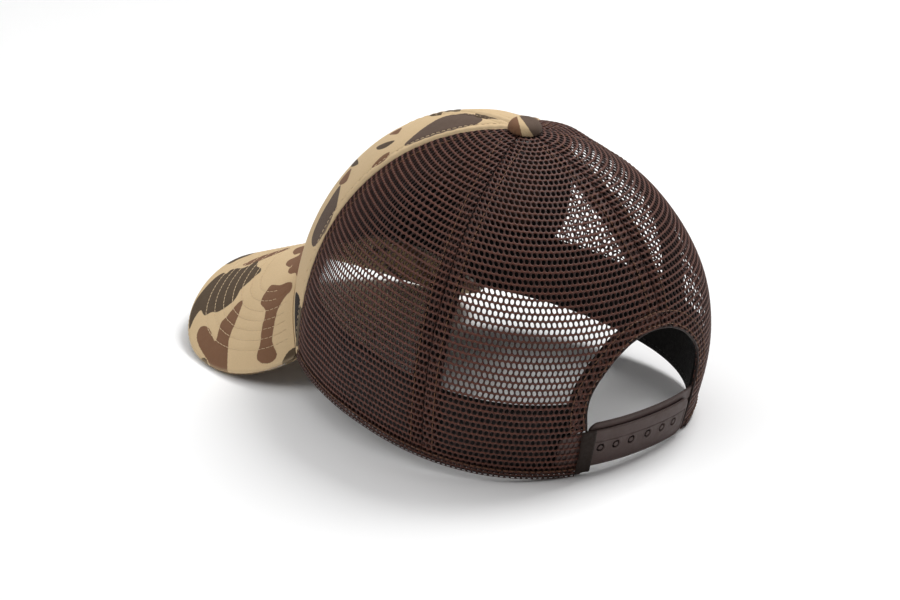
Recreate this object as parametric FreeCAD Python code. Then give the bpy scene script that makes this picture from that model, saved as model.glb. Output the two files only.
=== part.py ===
import FreeCAD, Part
import math
import os

V = FreeCAD.Vector
D2R = math.pi / 180.0

# Trucker mesh cap, millimetres. +Z up, visor towards -Y, wearer's left is +X.
# The cap stands on a flat surface: on the two side edges of the visor and on the
# feet of the rear opening. The origin is the middle of the footprint, at the floor.

# ---- driving dimensions -------------------------------------------------
HALF_WIDTH = 80.0        # head opening, half width
HALF_LENGTH = 100.2      # head opening, half length
SQUARENESS = 2.196       # exponent of the opening's superellipse
EGG = -0.102             # the opening is wider behind than in front
TRILOBE, QUADLOBE = 0.019, 0.002
CROWN_HEIGHT = 124.7     # opening plane to button
APEX_Y = 9.8            # the button sits behind the middle of the opening
PROFILE_N = (2.008, 0.010, 0.029)     # exponent of the crown's profile round the head
BULGE = (0.071, -0.097, -0.030)        # how far the crown bellies out
PITCH = 6.87             # the opening's plane leans back when the cap stands
REST_TILT = 0.655         # further lean that brings the visor's edge to the floor
FRONT_ARCH = 26.0        # rise of the front edge over the visor
SIDE_BOW = 1.8
CORNER_F = 54.3          # front-left seam at the edge, degrees from the front
CORNER_LEAN = 20.0
RIGHT_SWEEP = 20.0       # the front-right seam sweeps back above the visor's corner
RIGHT_SWEEP_T = 0.35
REAR_SEAM_F = 111.8      # rear-left seam at the edge
REAR_LEAN = 3.5
BACK_LEAN = 15.0         # sideways lean of the centre-back seam half way up
T_TOP = 0.962            # panels end on a small ring under the button
SEAM_GAP = 0.05          # degrees between neighbouring panels

FRONT_T = 0.6            # printed cotton
BUCKRAM = (-0.70, -1.30)
MESH_T = 0.8             # net
TAPE = (-1.45, -1.95)
TAPE_HALF = 7.5
BAND_LINING = (-2.10, -2.90)
BAND = (-3.00, -4.00)
BAND_TOP_T = 0.187
HEM = (0.05, 0.45)
HEM_T = 0.0262

VISOR_R = 114.7          # bend radius of the visor
VISOR_DROP = 15.55       # its slope, degrees
VISOR_EDGE = ((78.70, 25.69), (72.73, 69.08), (26.90, 102.93))
VISOR_LENGTH = 109.1     # from the line through its corners
COVER_T = 0.6
BOARD_T = 1.6
LAYER_GAP = 0.05

ARCH_HALF = ((-12.0, 33.0), (0.0, 33.0), (8.0, 33.0), (16.0, 33.8), (25.0, 35.0), (33.0, 36.0),
             (40.0, 35.0), (45.0, 32.4), (49.5, 28.6), (54.0, 23.6), (57.5, 18.2), (60.5, 11.0), (62.0, 0.0))
BINDING_W = 8.5
BINDING = (-0.85, -1.35)

STRAP_W = 18.5
STRAP_T = 1.2
STRAP_Z = 12.3           # height of the strap's middle at the centre-back
STRAP_SLOPE = 0.03
PEG_LIFT = 3.0           # the inner strap sits this much higher than the outer one
STRAP_HINGE_F = 162.4    # where the outer strap leaves the label
STRAP_TIP_F = 197.6
PEG_HINGE_F = 200.3      # where the inner strap leaves the right foot
PEG_TIP_F = 160.6
HOLE_F = [164.9 + 5.2 * i for i in range(6)]
HOLE_R = 2.4
PEG_R, PEG_TIP_R = 1.5, 1.2
BUTTON_R, BUTTON_H = 7.6, 4.6

Y_SHIFT = 32.55
Z_SHIFT = -1.08
# -------------------------------------------------------------------------


def fold(f):
    return abs(((f + 180.0) % 360.0) - 180.0)


def edge_cap(f):
    """Bottom edge of the crown, before the lean."""
    c, s = math.cos(f * D2R), math.sin(f * D2R)
    x = HALF_WIDTH * math.copysign(abs(s) ** (2 / SQUARENESS), s) * (1 + EGG * c)
    y = -HALF_LENGTH * math.copysign(abs(c) ** (2 / SQUARENESS), c)
    k = 1 + TRILOBE * math.cos(3 * f * D2R) + QUADLOBE * math.cos(4 * f * D2R)
    t = fold(f) / CORNER_F
    z = FRONT_ARCH * (1 - t * t) if t < 1 else 0.0
    return x * k, y * k, z


def settle(f, y):
    """The rear of the edge flattens on the surface that the cap stands on."""
    w = min(max((fold(f) - CORNER_F) / (180 - CORNER_F), 0), 1)
    d = max(HALF_LENGTH - y, 0)
    sp = math.sin(PITCH * D2R)
    return sp * d * d / (d + 20.0) + SIDE_BOW * math.sin(math.pi * w) - sp * d


def place(x, y, z):
    """Cap frame to the standing cap."""
    th = PITCH * D2R
    y -= HALF_LENGTH
    y, z = y * math.cos(th) + z * math.sin(th), -y * math.sin(th) + z * math.cos(th)
    th = REST_TILT * D2R
    y, z = y * math.cos(th) + z * math.sin(th), -y * math.sin(th) + z * math.cos(th)
    return V(x, y + HALF_LENGTH + Y_SHIFT, z + Z_SHIFT)


def crown_point(f, t):
    bx, by, bz = edge_cap(f)
    c1, c2 = math.cos(f * D2R), math.cos(2 * f * D2R)
    n = PROFILE_N[0] + PROFILE_N[1] * c1 + PROFILE_N[2] * c2
    be = BULGE[0] + BULGE[1] * c1 + BULGE[2] * c2
    tau = t * math.pi / 2
    r = max(math.cos(tau), 0) ** (2 / n) * (1 + be * math.sin(2 * tau))
    ze = math.sin(tau) ** (2 / n) if tau > 0 else -((-math.sin(tau)) ** (2 / n))
    return place(bx * r, APEX_Y + (by - APEX_Y) * r,
                 bz * (1 - ze) + CROWN_HEIGHT * ze + settle(f, by) * (1 - ze))


def crown_normal(f, t):
    a = crown_point(f + 0.3, t) - crown_point(f - 0.3, t)
    t0, t1 = max(t - 0.004, 0.0), t + 0.004
    b = crown_point(f, t1) - crown_point(f, t0)
    n = a.cross(b)
    n.normalize()
    return n


def skin(f, t, off=0.0):
    return crown_point(f, t) + crown_normal(f, t) * off


def seam_front(t):
    return CORNER_F - CORNER_LEAN * t * (1 - t)


def seam_front_right(t):
    k = min(t / RIGHT_SWEEP_T, 1.0)
    return -(CORNER_F + RIGHT_SWEEP * (1 - (1 - k) ** 2))


def seam_rear(t):
    return REAR_SEAM_F - REAR_LEAN * t * (1 - t)


def seam_back(t):
    return 180 + BACK_LEAN * t * (1 - t)


def shell_solid(outer, inner):
    """A closed solid between two grids of points."""
    so, si = Part.BSplineSurface(), Part.BSplineSurface()
    so.interpolate(outer)
    si.interpolate(inner)

    def sides(s):
        u0, u1, v0, v1 = s.bounds()
        return [s.uIso(u0).toShape(), s.uIso(u1).toShape(), s.vIso(v0).toShape(), s.vIso(v1).toShape()]

    faces = [so.toShape(), si.toShape()]
    for a, b in zip(sides(so), sides(si)):
        faces.append(Part.makeRuledSurface(a, b))
    shell = Part.Shell(faces)
    shell.sewShape()
    if shell.ShapeType != "Shell":
        shell = shell.Shells[0]
    solid = Part.Solid(shell)
    if solid.Volume < 0:
        solid.reverse()
    if not solid.isValid():
        solid.fix(1e-4, 1e-4, 1e-3)
    return solid


def spread(n, a=0.0, b=1.0):
    return [a + (b - a) * i / (n - 1.0) for i in range(n)]


def patch(fa, fb, ta, tb, off, nu=14, nv=16):
    """A piece of the crown between two seam functions fa(t), fb(t) and two heights ta(f), tb(f)."""
    grids = []
    for o in off:
        rows = []
        for u in spread(nu):
            row = []
            for w in spread(nv):
                tm = 0.5
                f = fa(0) + (fb(0) - fa(0)) * u
                t = ta(f) + (tb(f) - ta(f)) * w
                f = fa(t) + (fb(t) - fa(t)) * u
                oo = o(f) if callable(o) else o
                row.append(skin(f, t, oo))
            rows.append(row)
        grids.append(rows)
    return shell_solid(grids[0], grids[1])


def const(v):
    return lambda _: v


def mirror(shape):
    return shape.mirror(V(0, 0, 0), V(1, 0, 0))


parts = {}

# Crown panels
zero, top = const(0.0), const(T_TOP)
front = patch(const(SEAM_GAP), lambda t: seam_front(t) - SEAM_GAP, zero, top, (0.0, -FRONT_T))
parts["front_panel_left"] = front
parts["front_panel_right"] = patch(lambda t: seam_front_right(t) + SEAM_GAP, const(-SEAM_GAP), zero, top, (0.0, -FRONT_T), 24, 44)
lining = patch(const(0.6), lambda t: seam_front(t) - 1.6, const(0.02), const(0.945), BUCKRAM)
parts["front_buckram_left"] = lining
parts["front_buckram_right"] = patch(lambda t: seam_front_right(t) + 1.6, const(-0.6), const(0.02), const(0.945), BUCKRAM, 24, 44)
side = patch(lambda t: seam_front(t) + SEAM_GAP, lambda t: seam_rear(t) - SEAM_GAP, zero, top, (0.0, -MESH_T))
parts["side_mesh_left"] = side
parts["side_mesh_right"] = patch(lambda t: -seam_rear(t) + SEAM_GAP, lambda t: seam_front_right(t) - SEAM_GAP, zero, top, (0.0, -MESH_T), 24, 44)


def arch_outline(grow):
    """Closed outline of the rear opening in the XZ plane, grown by an amount."""
    pts = []
    n = len(ARCH_HALF)
    for i in range(n):
        z, x = ARCH_HALF[i]
        a, b = ARCH_HALF[max(i - 1, 0)], ARCH_HALF[min(i + 1, n - 1)]
        dz, dx = b[0] - a[0], b[1] - a[1]
        if i == n - 1:
            dz, dx = 0.0, -1.0
        k = math.hypot(dz, dx)
        pts.append((x + grow * dz / k, z - grow * dx / k))
    left = [V(x, 0, z) for x, z in pts]
    right = [V(-x, 0, z) for x, z in reversed(pts[:-1])]
    curve = Part.BSplineCurve()
    curve.interpolate(left + right)
    return Part.Wire([curve.toShape(), Part.LineSegment(right[-1], left[0]).toShape()])


def arch_tool(grow):
    face = Part.Face(arch_outline(grow))
    face.translate(V(0, 60 + Y_SHIFT, Z_SHIFT))
    return face.extrude(V(0, 80, 0))


arch_cut = arch_tool(0.0)
rear_l = patch(lambda t: seam_rear(t) + SEAM_GAP, lambda t: seam_back(t) - SEAM_GAP, zero, top, (0.0, -MESH_T), 16, 18)
rear_r = patch(lambda t: seam_back(t) + SEAM_GAP, lambda t: 360 - seam_rear(t) - SEAM_GAP, zero, top, (0.0, -MESH_T), 16, 18)
parts["rear_mesh_left"] = rear_l.cut(arch_cut)
parts["rear_mesh_right"] = rear_r.cut(arch_cut)

# Binding of the rear opening, above the strap tabs
full = patch(const(140.0), const(220.0), const(0.03), const(0.46), BINDING, 24, 18)
band = arch_tool(BINDING_W).cut(arch_tool(0.0))
floor_cut = Part.makeBox(200, 200, 39.5, V(-100, 0, -12 + Z_SHIFT))
parts["arch_binding"] = full.common(band).cut(floor_cut)

# Seam tapes


def tape(centre, ta, tb, off=TAPE, half=TAPE_HALF, share=24.0, rows_up=18):
    """A band along a seam; near the button it narrows to a share of degrees each side."""
    grids = []
    for o in off:
        rows = []
        for u in (-1.0, -0.5, 0.0, 0.5, 1.0):
            row = []
            for t in spread(rows_up, ta, tb):
                f = centre(t)
                per = (crown_point(f + 0.5, t) - crown_point(f - 0.5, t)).Length
                w = min(half, share * per)
                row.append(skin(f + u * w / per, t, o))
            rows.append(row)
        grids.append(rows)
    return shell_solid(grids[0], grids[1])


parts["tape_centre_front"] = tape(const(0.0), 0.02, 0.90)
fl = tape(seam_front, 0.015, 0.90)
parts["tape_front_left"] = fl
parts["tape_front_right"] = tape(seam_front_right, 0.015, 0.90, share=12.0, rows_up=48)
rl = tape(seam_rear, 0.015, 0.90)
parts["tape_rear_left"] = rl
parts["tape_rear_right"] = mirror(rl)
parts["tape_centre_back"] = tape(seam_back, 0.40, 0.90)


# Sweatband and its lining
def band_top(f):
    a = fold(f)
    return BAND_TOP_T + (0.045 * (1 - (a / CORNER_F) ** 2) if a < CORNER_F else 0.0)


def ring(off, f_end, ta, tb_drop, nu=64):
    grids = []
    for o in off:
        rows = []
        for u in spread(nu, -f_end, f_end):
            t1 = band_top(u) - tb_drop
            rows.append([skin(u, ta + (t1 - ta) * w, o) for w in spread(6)])
        grids.append(rows)
    return shell_solid(grids[0], grids[1])


parts["sweatband"] = ring(BAND, 155.5, 0.006, 0.0)
parts["sweatband_lining"] = ring(BAND_LINING, 148.0, 0.012, 0.012)

# Turned bottom hem of the net
hem = patch(const(CORNER_F + 0.4), const(157.0), zero, const(HEM_T), HEM, 30, 4)
parts["hem_left"] = hem
parts["hem_right"] = mirror(hem)


# ---- visor --------------------------------------------------------------
def visor_flat():
    """Outer edge on the flat pattern: lateral and forward distance from the corner to the middle."""
    corner_x = crown_edge_x(CORNER_F)
    cu = VISOR_R * math.asin(corner_x / VISOR_R)
    pts = [V(cu, 0, 0)] + [V(a, b, 0) for a, b in VISOR_EDGE] + [V(0, VISOR_LENGTH, 0)]
    pts += [V(-VISOR_EDGE[2][0], VISOR_EDGE[2][1], 0)]
    c = Part.BSplineCurve()
    d = [0.0]
    for a, b in zip(pts, pts[1:]):
        d.append(d[-1] + (b - a).Length)
    c.interpolate(Points=pts, Parameters=d)
    return c, d[4], cu


def crown_edge_x(f):
    return edge_cap(f)[0]


def bend_visor(u, v, cu):
    bx, by, bz = edge_cap(CORNER_F)
    bz += settle(CORNER_F, by)
    zz = VISOR_R * (math.cos(u / VISOR_R) - math.cos(cu / VISOR_R))
    a = VISOR_DROP * D2R
    return place(VISOR_R * math.sin(u / VISOR_R), by - v * math.cos(a) - zz * math.sin(a),
                 bz - v * math.sin(a) + zz * math.cos(a))


flat, flat_end, corner_u = visor_flat()
lengths, marks = [0.0], spread(241, 0.0, flat_end)
for a, b in zip(marks, marks[1:]):
    lengths.append(lengths[-1] + (flat.value(b) - flat.value(a)).Length)


def visor_edge(s):
    """Outer edge at a share s of its length, from a corner (0) to the middle (1)."""
    want = s * lengths[-1]
    i = 0
    while i < len(lengths) - 2 and lengths[i + 1] < want:
        i += 1
    k = (want - lengths[i]) / (lengths[i + 1] - lengths[i])
    p = flat.value(marks[i] + (marks[i + 1] - marks[i]) * k)
    return bend_visor(p.x, p.y, corner_u)


def visor_point(s, k):
    """s from -1 to 1 across the visor, k from 0 at the crown to 1 at the outer edge."""
    q = 1 - abs(s)
    e = visor_edge(q)
    i = crown_point(CORNER_F * abs(s), 0.0) + crown_normal(CORNER_F * abs(s), 0.0) * 0.35
    p = i * (1 - k) + e * k
    return p if s >= 0 else V(-p.x, p.y, p.z)


def visor_layer(top_off, low_off, k0=0.0, k1=1.0, s1=0.985, nu=45, nv=7):
    ss = spread(nu, -s1, s1)
    grids = []
    for o in (top_off, low_off):
        rows = []
        for s in ss:
            row = []
            for k in spread(nv, k0, k1):
                h = 0.006
                a = visor_point(min(s + h, 1.0), k) - visor_point(max(s - h, -1.0), k)
                b = visor_point(s, min(k + 0.05, 1.0)) - visor_point(s, max(k - 0.05, 0.0))
                n = a.cross(b)
                n.normalize()
                if n.z < 0:
                    n = n * -1.0
                row.append(visor_point(s, k) + n * o)
            rows.append(row)
        grids.append(rows)
    return shell_solid(grids[0], grids[1])


z1 = -COVER_T
z2 = z1 - LAYER_GAP
z3 = z2 - BOARD_T
z4 = z3 - LAYER_GAP
parts["visor_top_cover"] = visor_layer(0.0, z1)
parts["visor_board"] = visor_layer(z2, z3, 0.02, 0.965, 0.95)
parts["visor_under_cover"] = visor_layer(z4, z4 - COVER_T)

# ---- button -------------------------------------------------------------
apex = place(0, APEX_Y, CROWN_HEIGHT)
lean = -(PITCH + REST_TILT)


def turned(profile):
    """A solid of revolution from (radius, height) points, on the button's axis."""
    pts = [V(r, 0, z) for r, z in profile]
    wire = Part.makePolygon(pts + [pts[0]])
    s = Part.Face(wire).revolve(V(0, 0, 0), V(0, 0, 1), 360)
    s.rotate(V(0, 0, 0), V(1, 0, 0), lean)
    s.translate(apex)
    return s


def dome(r, h, n=9, z=0.0):
    return [(r * math.cos(a * math.pi / 2 / n) ** 0.8, z + h * math.sin(a * math.pi / 2 / n) ** 0.9) for a in range(n)] + [(0.0, z + h)]


outer = dome(BUTTON_R, BUTTON_H, 9, 0.1)
inner = dome(BUTTON_R - 0.8, BUTTON_H - 0.8, 9, 0.1)
parts["button_cover"] = turned(outer + list(reversed(inner)))
rivet = dome(BUTTON_R - 0.95, BUTTON_H - 0.95, 9, 0.1) + [(0.0, -4.2), (1.7, -4.2), (1.7, 0.1)]
parts["button_rivet"] = turned(rivet)
parts["button_back"] = turned([(1.75, -3.0), (6.2, -3.0), (6.2, -3.8), (1.75, -3.8)])


# ---- snap strap ---------------------------------------------------------
def outer_off(f):
    """The outer strap runs from under the net at the left foot to just proud of it at the right."""
    return -0.95 + 1.55 * (f - 159.0) / 42.0 if f > 159 else -0.95


def inner_off(f):
    return outer_off(f) - STRAP_T - 0.35 if f < 201 else -0.95


def strap_point(f, h, off):
    """A point of the strap at a height h from its middle line; the strap follows the crown's slope."""
    z = STRAP_Z + STRAP_SLOPE * crown_point(f, 0.06).x + h + Z_SHIFT
    lo, hi = -0.02, 0.25
    for _ in range(30):
        mid = (lo + hi) / 2
        if crown_point(f, mid).z < z:
            lo = mid
        else:
            hi = mid
    return crown_point(f, lo) + crown_normal(f, max(lo, 0.01)) * off


def strap_strip(f0, f1, off, lift=0.0, round_tip=None, nu=26):
    half = STRAP_W / 2
    grids = []
    for d in (0.0, -STRAP_T):
        rows = []
        for f in spread(nu, f0, f1):
            w = half
            if round_tip is not None:
                tip, r = round_tip
                dist = abs(tip - f) / 0.56
                if dist < r:
                    w = half - r + math.sqrt(max(r * r - (r - dist) ** 2, 0.0)) * 0.999
                    w = max(w, half - r + 0.5)
            rows.append([strap_point(f, w * g + lift, off(f) + d) for g in (-1.0, -0.5, 0.0, 0.5, 1.0)])
        grids.append(rows)
    return shell_solid(grids[0], grids[1])


def strap_axis(f, lift=0.0):
    a = strap_point(f, lift + 2.0, 0.0) - strap_point(f, lift - 2.0, 0.0)
    b = strap_point(f + 0.5, lift, 0.0) - strap_point(f - 0.5, lift, 0.0)
    n = b.cross(a)
    n.normalize()
    return n


holed = strap_strip(STRAP_HINGE_F, STRAP_TIP_F, outer_off, 0.0, (STRAP_TIP_F, 5.0), 60)
for f in HOLE_F:
    c = strap_point(f, 0.0, outer_off(f))
    n = strap_axis(f)
    holed = holed.cut(Part.makeCylinder(HOLE_R, 6.0, c - n * 3.6, n))
parts["strap_holed"] = holed
parts["strap_holed_tab"] = strap_strip(151.0, STRAP_HINGE_F - 0.75, outer_off, 0.0)
pegged = strap_strip(PEG_TIP_F, PEG_HINGE_F, inner_off, PEG_LIFT, (PEG_TIP_F, 5.0), 60)
for f in HOLE_F:
    c = strap_point(f, 0.0, inner_off(f) - 0.4)
    n = strap_axis(f)
    pegged = pegged.fuse(Part.makeCone(PEG_R, PEG_TIP_R, 0.4 + 0.35 + STRAP_T + 0.3, c, n))
parts["strap_pegged"] = pegged
parts["strap_pegged_tab"] = strap_strip(PEG_HINGE_F + 0.6, 209.0, lambda f: -0.95 if f > 201 else inner_off(f), PEG_LIFT, None, 16)

# Woven label folded over the edge at the outer strap's root, no lettering
label = []
for o in (0.95, 0.5):
    label.append([[skin(f, t, o) for t in spread(6, 0.012, 0.118)] for f in spread(6, 157.5, 161.8)])
parts["side_label"] = shell_solid(label[0], label[1])

os.makedirs("parts", exist_ok=True)
for name, shape in parts.items():
    solids = shape.Solids
    out = solids[0] if len(solids) == 1 else Part.makeCompound(solids)
    box = out.BoundBox
    print("%-22s solids %d valid %s vol %.1f box %.1f %.1f %.1f %.1f %.1f %.1f" % (
        name, len(solids), out.isValid(), out.Volume, box.XMin, box.XMax, box.YMin, box.YMax, box.ZMin, box.ZMax))
    out.exportStep("parts/%s.step" % name)
for f, off in ((STRAP_HINGE_F, outer_off), (PEG_HINGE_F, inner_off)):
    a, b = strap_point(f, -5.0, off(f) - STRAP_T / 2), strap_point(f, 5.0, off(f) - STRAP_T / 2)
    m, d = (a + b) * 0.5, (b - a).normalize()
    print("hinge %.3f %.3f %.3f axis %.5f %.5f %.5f" % (m.x, m.y, m.z, d.x, d.y, d.z))
whole = Part.makeCompound(list(parts.values())).BoundBox
print("whole %.2f %.2f %.2f %.2f %.2f %.2f" % (whole.XMin, whole.XMax, whole.YMin, whole.YMax, whole.ZMin, whole.ZMax))
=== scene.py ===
import math

import bmesh
import bpy
import numpy as np
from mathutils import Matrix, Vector


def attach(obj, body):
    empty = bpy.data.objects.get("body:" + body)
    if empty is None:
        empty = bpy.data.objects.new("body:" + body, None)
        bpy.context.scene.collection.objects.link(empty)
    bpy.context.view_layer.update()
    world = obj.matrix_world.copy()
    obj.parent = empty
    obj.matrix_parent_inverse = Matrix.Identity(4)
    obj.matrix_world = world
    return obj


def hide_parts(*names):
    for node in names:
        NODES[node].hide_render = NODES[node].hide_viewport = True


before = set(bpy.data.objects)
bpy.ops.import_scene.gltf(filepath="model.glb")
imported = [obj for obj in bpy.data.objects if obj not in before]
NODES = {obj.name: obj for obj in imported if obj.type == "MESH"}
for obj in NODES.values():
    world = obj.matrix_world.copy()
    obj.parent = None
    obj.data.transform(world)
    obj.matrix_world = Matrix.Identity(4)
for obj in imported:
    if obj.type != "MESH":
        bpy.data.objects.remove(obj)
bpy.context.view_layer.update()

# ------------------------------------------------------------------ camera
CAM_TARGET = np.array([0.0, 32.55, 49.0])
CAM_AZ, CAM_EL, CAM_D = 134.977, 22.073, 1340.3
CAM_S, CAM_CX, CAM_CY = 2.19039, 481.6, 292.63

cam_data = bpy.data.cameras.new("camera")
cam = bpy.data.objects.new("camera", cam_data)
bpy.context.scene.collection.objects.link(cam)
a_, e_ = math.radians(CAM_AZ), math.radians(CAM_EL)
back = Vector((math.sin(a_) * math.cos(e_), -math.cos(a_) * math.cos(e_), math.sin(e_)))
cam.location = (Vector(CAM_TARGET) + back * CAM_D) * 0.001
cam.rotation_euler = back.to_track_quat("Z", "Y").to_euler()
cam_data.sensor_width = 36.0
cam_data.lens = CAM_S * CAM_D / 900.0 * 36.0
cam_data.shift_x = -(CAM_CX - 450.0) / 900.0
cam_data.shift_y = (CAM_CY - 300.0) / 900.0
cam_data.clip_start, cam_data.clip_end = 0.05, 20.0
bpy.context.scene.camera = cam

# ------------------------------------------------- the crown's surface, millimetres
D2R = math.pi / 180
HALF_W, HALF_L, SQUARE, EGG, H3, H4 = 80.0, 100.2, 2.196, -0.102, 0.019, 0.002
HEIGHT, APEX_Y = 124.7, 9.8
PN = (2.008, 0.010, 0.029)
BU = (0.071, -0.097, -0.030)
PITCH, TILT = 6.87, 0.655
ARCH, BOW, CF, CL, RF, RL, BL = 26.0, 1.8, 54.3, 20.0, 111.8, 3.5, 15.0
Y_SHIFT, Z_SHIFT = 32.55, -1.08
T_TOP = 0.962


def fold(f):
    return np.abs(((f + 180) % 360) - 180)


def edge_cap(f):
    c, s = np.cos(f * D2R), np.sin(f * D2R)
    k = 1 + H3 * np.cos(3 * f * D2R) + H4 * np.cos(4 * f * D2R)
    x = HALF_W * np.sign(s) * np.abs(s) ** (2 / SQUARE) * (1 + EGG * c) * k
    y = -HALF_L * np.sign(c) * np.abs(c) ** (2 / SQUARE) * k
    t = fold(f) / CF
    return x, y, np.where(t < 1, ARCH * (1 - t * t), 0.0)


def settle(f, y):
    w = np.clip((fold(f) - CF) / (180 - CF), 0, 1)
    d = np.maximum(HALF_L - y, 0)
    sp = math.sin(PITCH * D2R)
    return sp * d * d / (d + 20.0) + BOW * np.sin(np.pi * w) - sp * d


def place(x, y, z):
    y = y - HALF_L
    for th in (PITCH * D2R, TILT * D2R):
        y, z = y * np.cos(th) + z * np.sin(th), -y * np.sin(th) + z * np.cos(th)
    return np.stack(np.broadcast_arrays(x, y + HALF_L + Y_SHIFT, z + Z_SHIFT), -1)


def crown(f, t):
    f, t = np.broadcast_arrays(np.asarray(f, float), np.asarray(t, float))
    bx, by, bz = edge_cap(f)
    c1, c2 = np.cos(f * D2R), np.cos(2 * f * D2R)
    n = PN[0] + PN[1] * c1 + PN[2] * c2
    be = BU[0] + BU[1] * c1 + BU[2] * c2
    tau = t * np.pi / 2
    r = np.maximum(np.cos(tau), 0) ** (2 / n) * (1 + be * np.sin(2 * tau))
    s = np.sin(tau)
    ze = np.sign(s) * np.abs(s) ** (2 / n)
    return place(bx * r, APEX_Y + (by - APEX_Y) * r, bz * (1 - ze) + HEIGHT * ze + settle(f, by) * (1 - ze))


def unit(v):
    return v / np.maximum(np.linalg.norm(v, axis=-1, keepdims=True), 1e-12)


def normal(f, t):
    f, t = np.broadcast_arrays(np.asarray(f, float), np.asarray(t, float))
    return unit(np.cross(crown(f + 0.3, t) - crown(f - 0.3, t), crown(f, t + 0.004) - crown(f, np.maximum(t - 0.004, 0))))


def skin(f, t, o=0.0):
    f, t, o = np.broadcast_arrays(np.asarray(f, float), np.asarray(t, float), np.asarray(o, float))
    return crown(f, t) + normal(f, t) * o[..., None]


def seam_front(t):
    return CF - CL * t * (1 - t)


def seam_front_right(t):
    """The front-right seam, for the mirrored side: it sweeps back above the visor's corner."""
    k = np.minimum(np.asarray(t, float) / 0.35, 1.0)
    return CF + 20.0 * (1 - (1 - k) ** 2)


def seam_rear(t):
    return RF - RL * t * (1 - t)


def seam_back(t):
    return 180 + BL * t * (1 - t)


def per_deg(f, t):
    """Millimetres round the crown for one degree."""
    return np.linalg.norm(crown(f + 0.5, t) - crown(f - 0.5, t), axis=-1)


def meridian(fm, n=240, top=0.99):
    """Heights t and the arc length up the crown along fm(t)."""
    t = np.linspace(0, top, n)
    p = crown(fm(t), t)
    return t, np.concatenate([[0], np.cumsum(np.linalg.norm(np.diff(p, axis=0), axis=1))])


def noise2(u, v, seed, scale):
    """Smooth repeatable noise, about -1 to 1."""
    rng = np.random.default_rng(seed)
    out = 0.0
    for _ in range(6):
        a, ph = rng.random() * 2 * np.pi, rng.random() * 2 * np.pi
        k = (0.6 + 0.9 * rng.random()) / scale
        out = out + np.sin((np.cos(a) * u + np.sin(a) * v) * k * 2 * np.pi + ph)
    return out / 3.0


# ------------------------------------------------------------ mesh building
def build(name, co, faces, mat, body="cap", attrs=None, replaces=(), smooth=True, fix=True):
    """A mesh piece from points in millimetres."""
    me = bpy.data.meshes.new(name)
    me.from_pydata((np.asarray(co, float) * 0.001).tolist(), [], [list(map(int, q)) for q in faces])
    for key, val in (attrs or {}).items():
        val = np.asarray(val, np.float32)
        if val.ndim == 1:
            at = me.attributes.new(key, "FLOAT", "POINT")
            at.data.foreach_set("value", val)
        else:
            at = me.attributes.new(key, "FLOAT_VECTOR", "POINT")
            at.data.foreach_set("vector", val.ravel())
    if fix:
        bm = bmesh.new()
        bm.from_mesh(me)
        bmesh.ops.recalc_face_normals(bm, faces=bm.faces)
        bm.to_mesh(me)
        bm.free()
    if smooth:
        me.polygons.foreach_set("use_smooth", [True] * len(me.polygons))
    me.materials.append(mat)
    me.update()
    ob = bpy.data.objects.new(name, me)
    bpy.context.scene.collection.objects.link(ob)
    if body:
        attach(ob, body)
    if replaces:
        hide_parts(*replaces)
    return ob


def grid_faces(nu, nv, base=0, flip=False):
    i = np.arange(nu * nv).reshape(nu, nv) + base
    q = np.stack([i[:-1, :-1], i[1:, :-1], i[1:, 1:], i[:-1, 1:]], -1).reshape(-1, 4)
    return q[:, ::-1] if flip else q


def slab(outer, inner):
    """Closed solid between two grids, with its four rims closed by one row of side faces."""
    nu, nv = outer.shape[:2]
    n = nu * nv
    ring = np.concatenate([np.arange(nv), np.arange(1, nu) * nv + nv - 1,
                           (nu - 1) * nv + np.arange(nv - 2, -1, -1), np.arange(nu - 2, 0, -1) * nv])
    co = np.concatenate([outer.reshape(-1, 3), inner.reshape(-1, 3)])
    a, b = ring, np.roll(ring, -1)
    side = np.stack([a, b, b + n, a + n], -1)
    return co, np.concatenate([grid_faces(nu, nv), grid_faces(nu, nv, n, True), side])


def two(v):
    return np.concatenate([v.reshape(-1, *v.shape[2:])] * 2)


def resample(pts, step):
    """Points about step apart along a line, with their arc lengths."""
    d = np.concatenate([[0], np.cumsum(np.linalg.norm(np.diff(pts, axis=0), axis=1))])
    n = max(int(round(d[-1] / step)), 1)
    at = np.linspace(0, d[-1], n + 1)
    return np.stack([np.interp(at, d, pts[:, k]) for k in range(3)], -1), at


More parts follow.
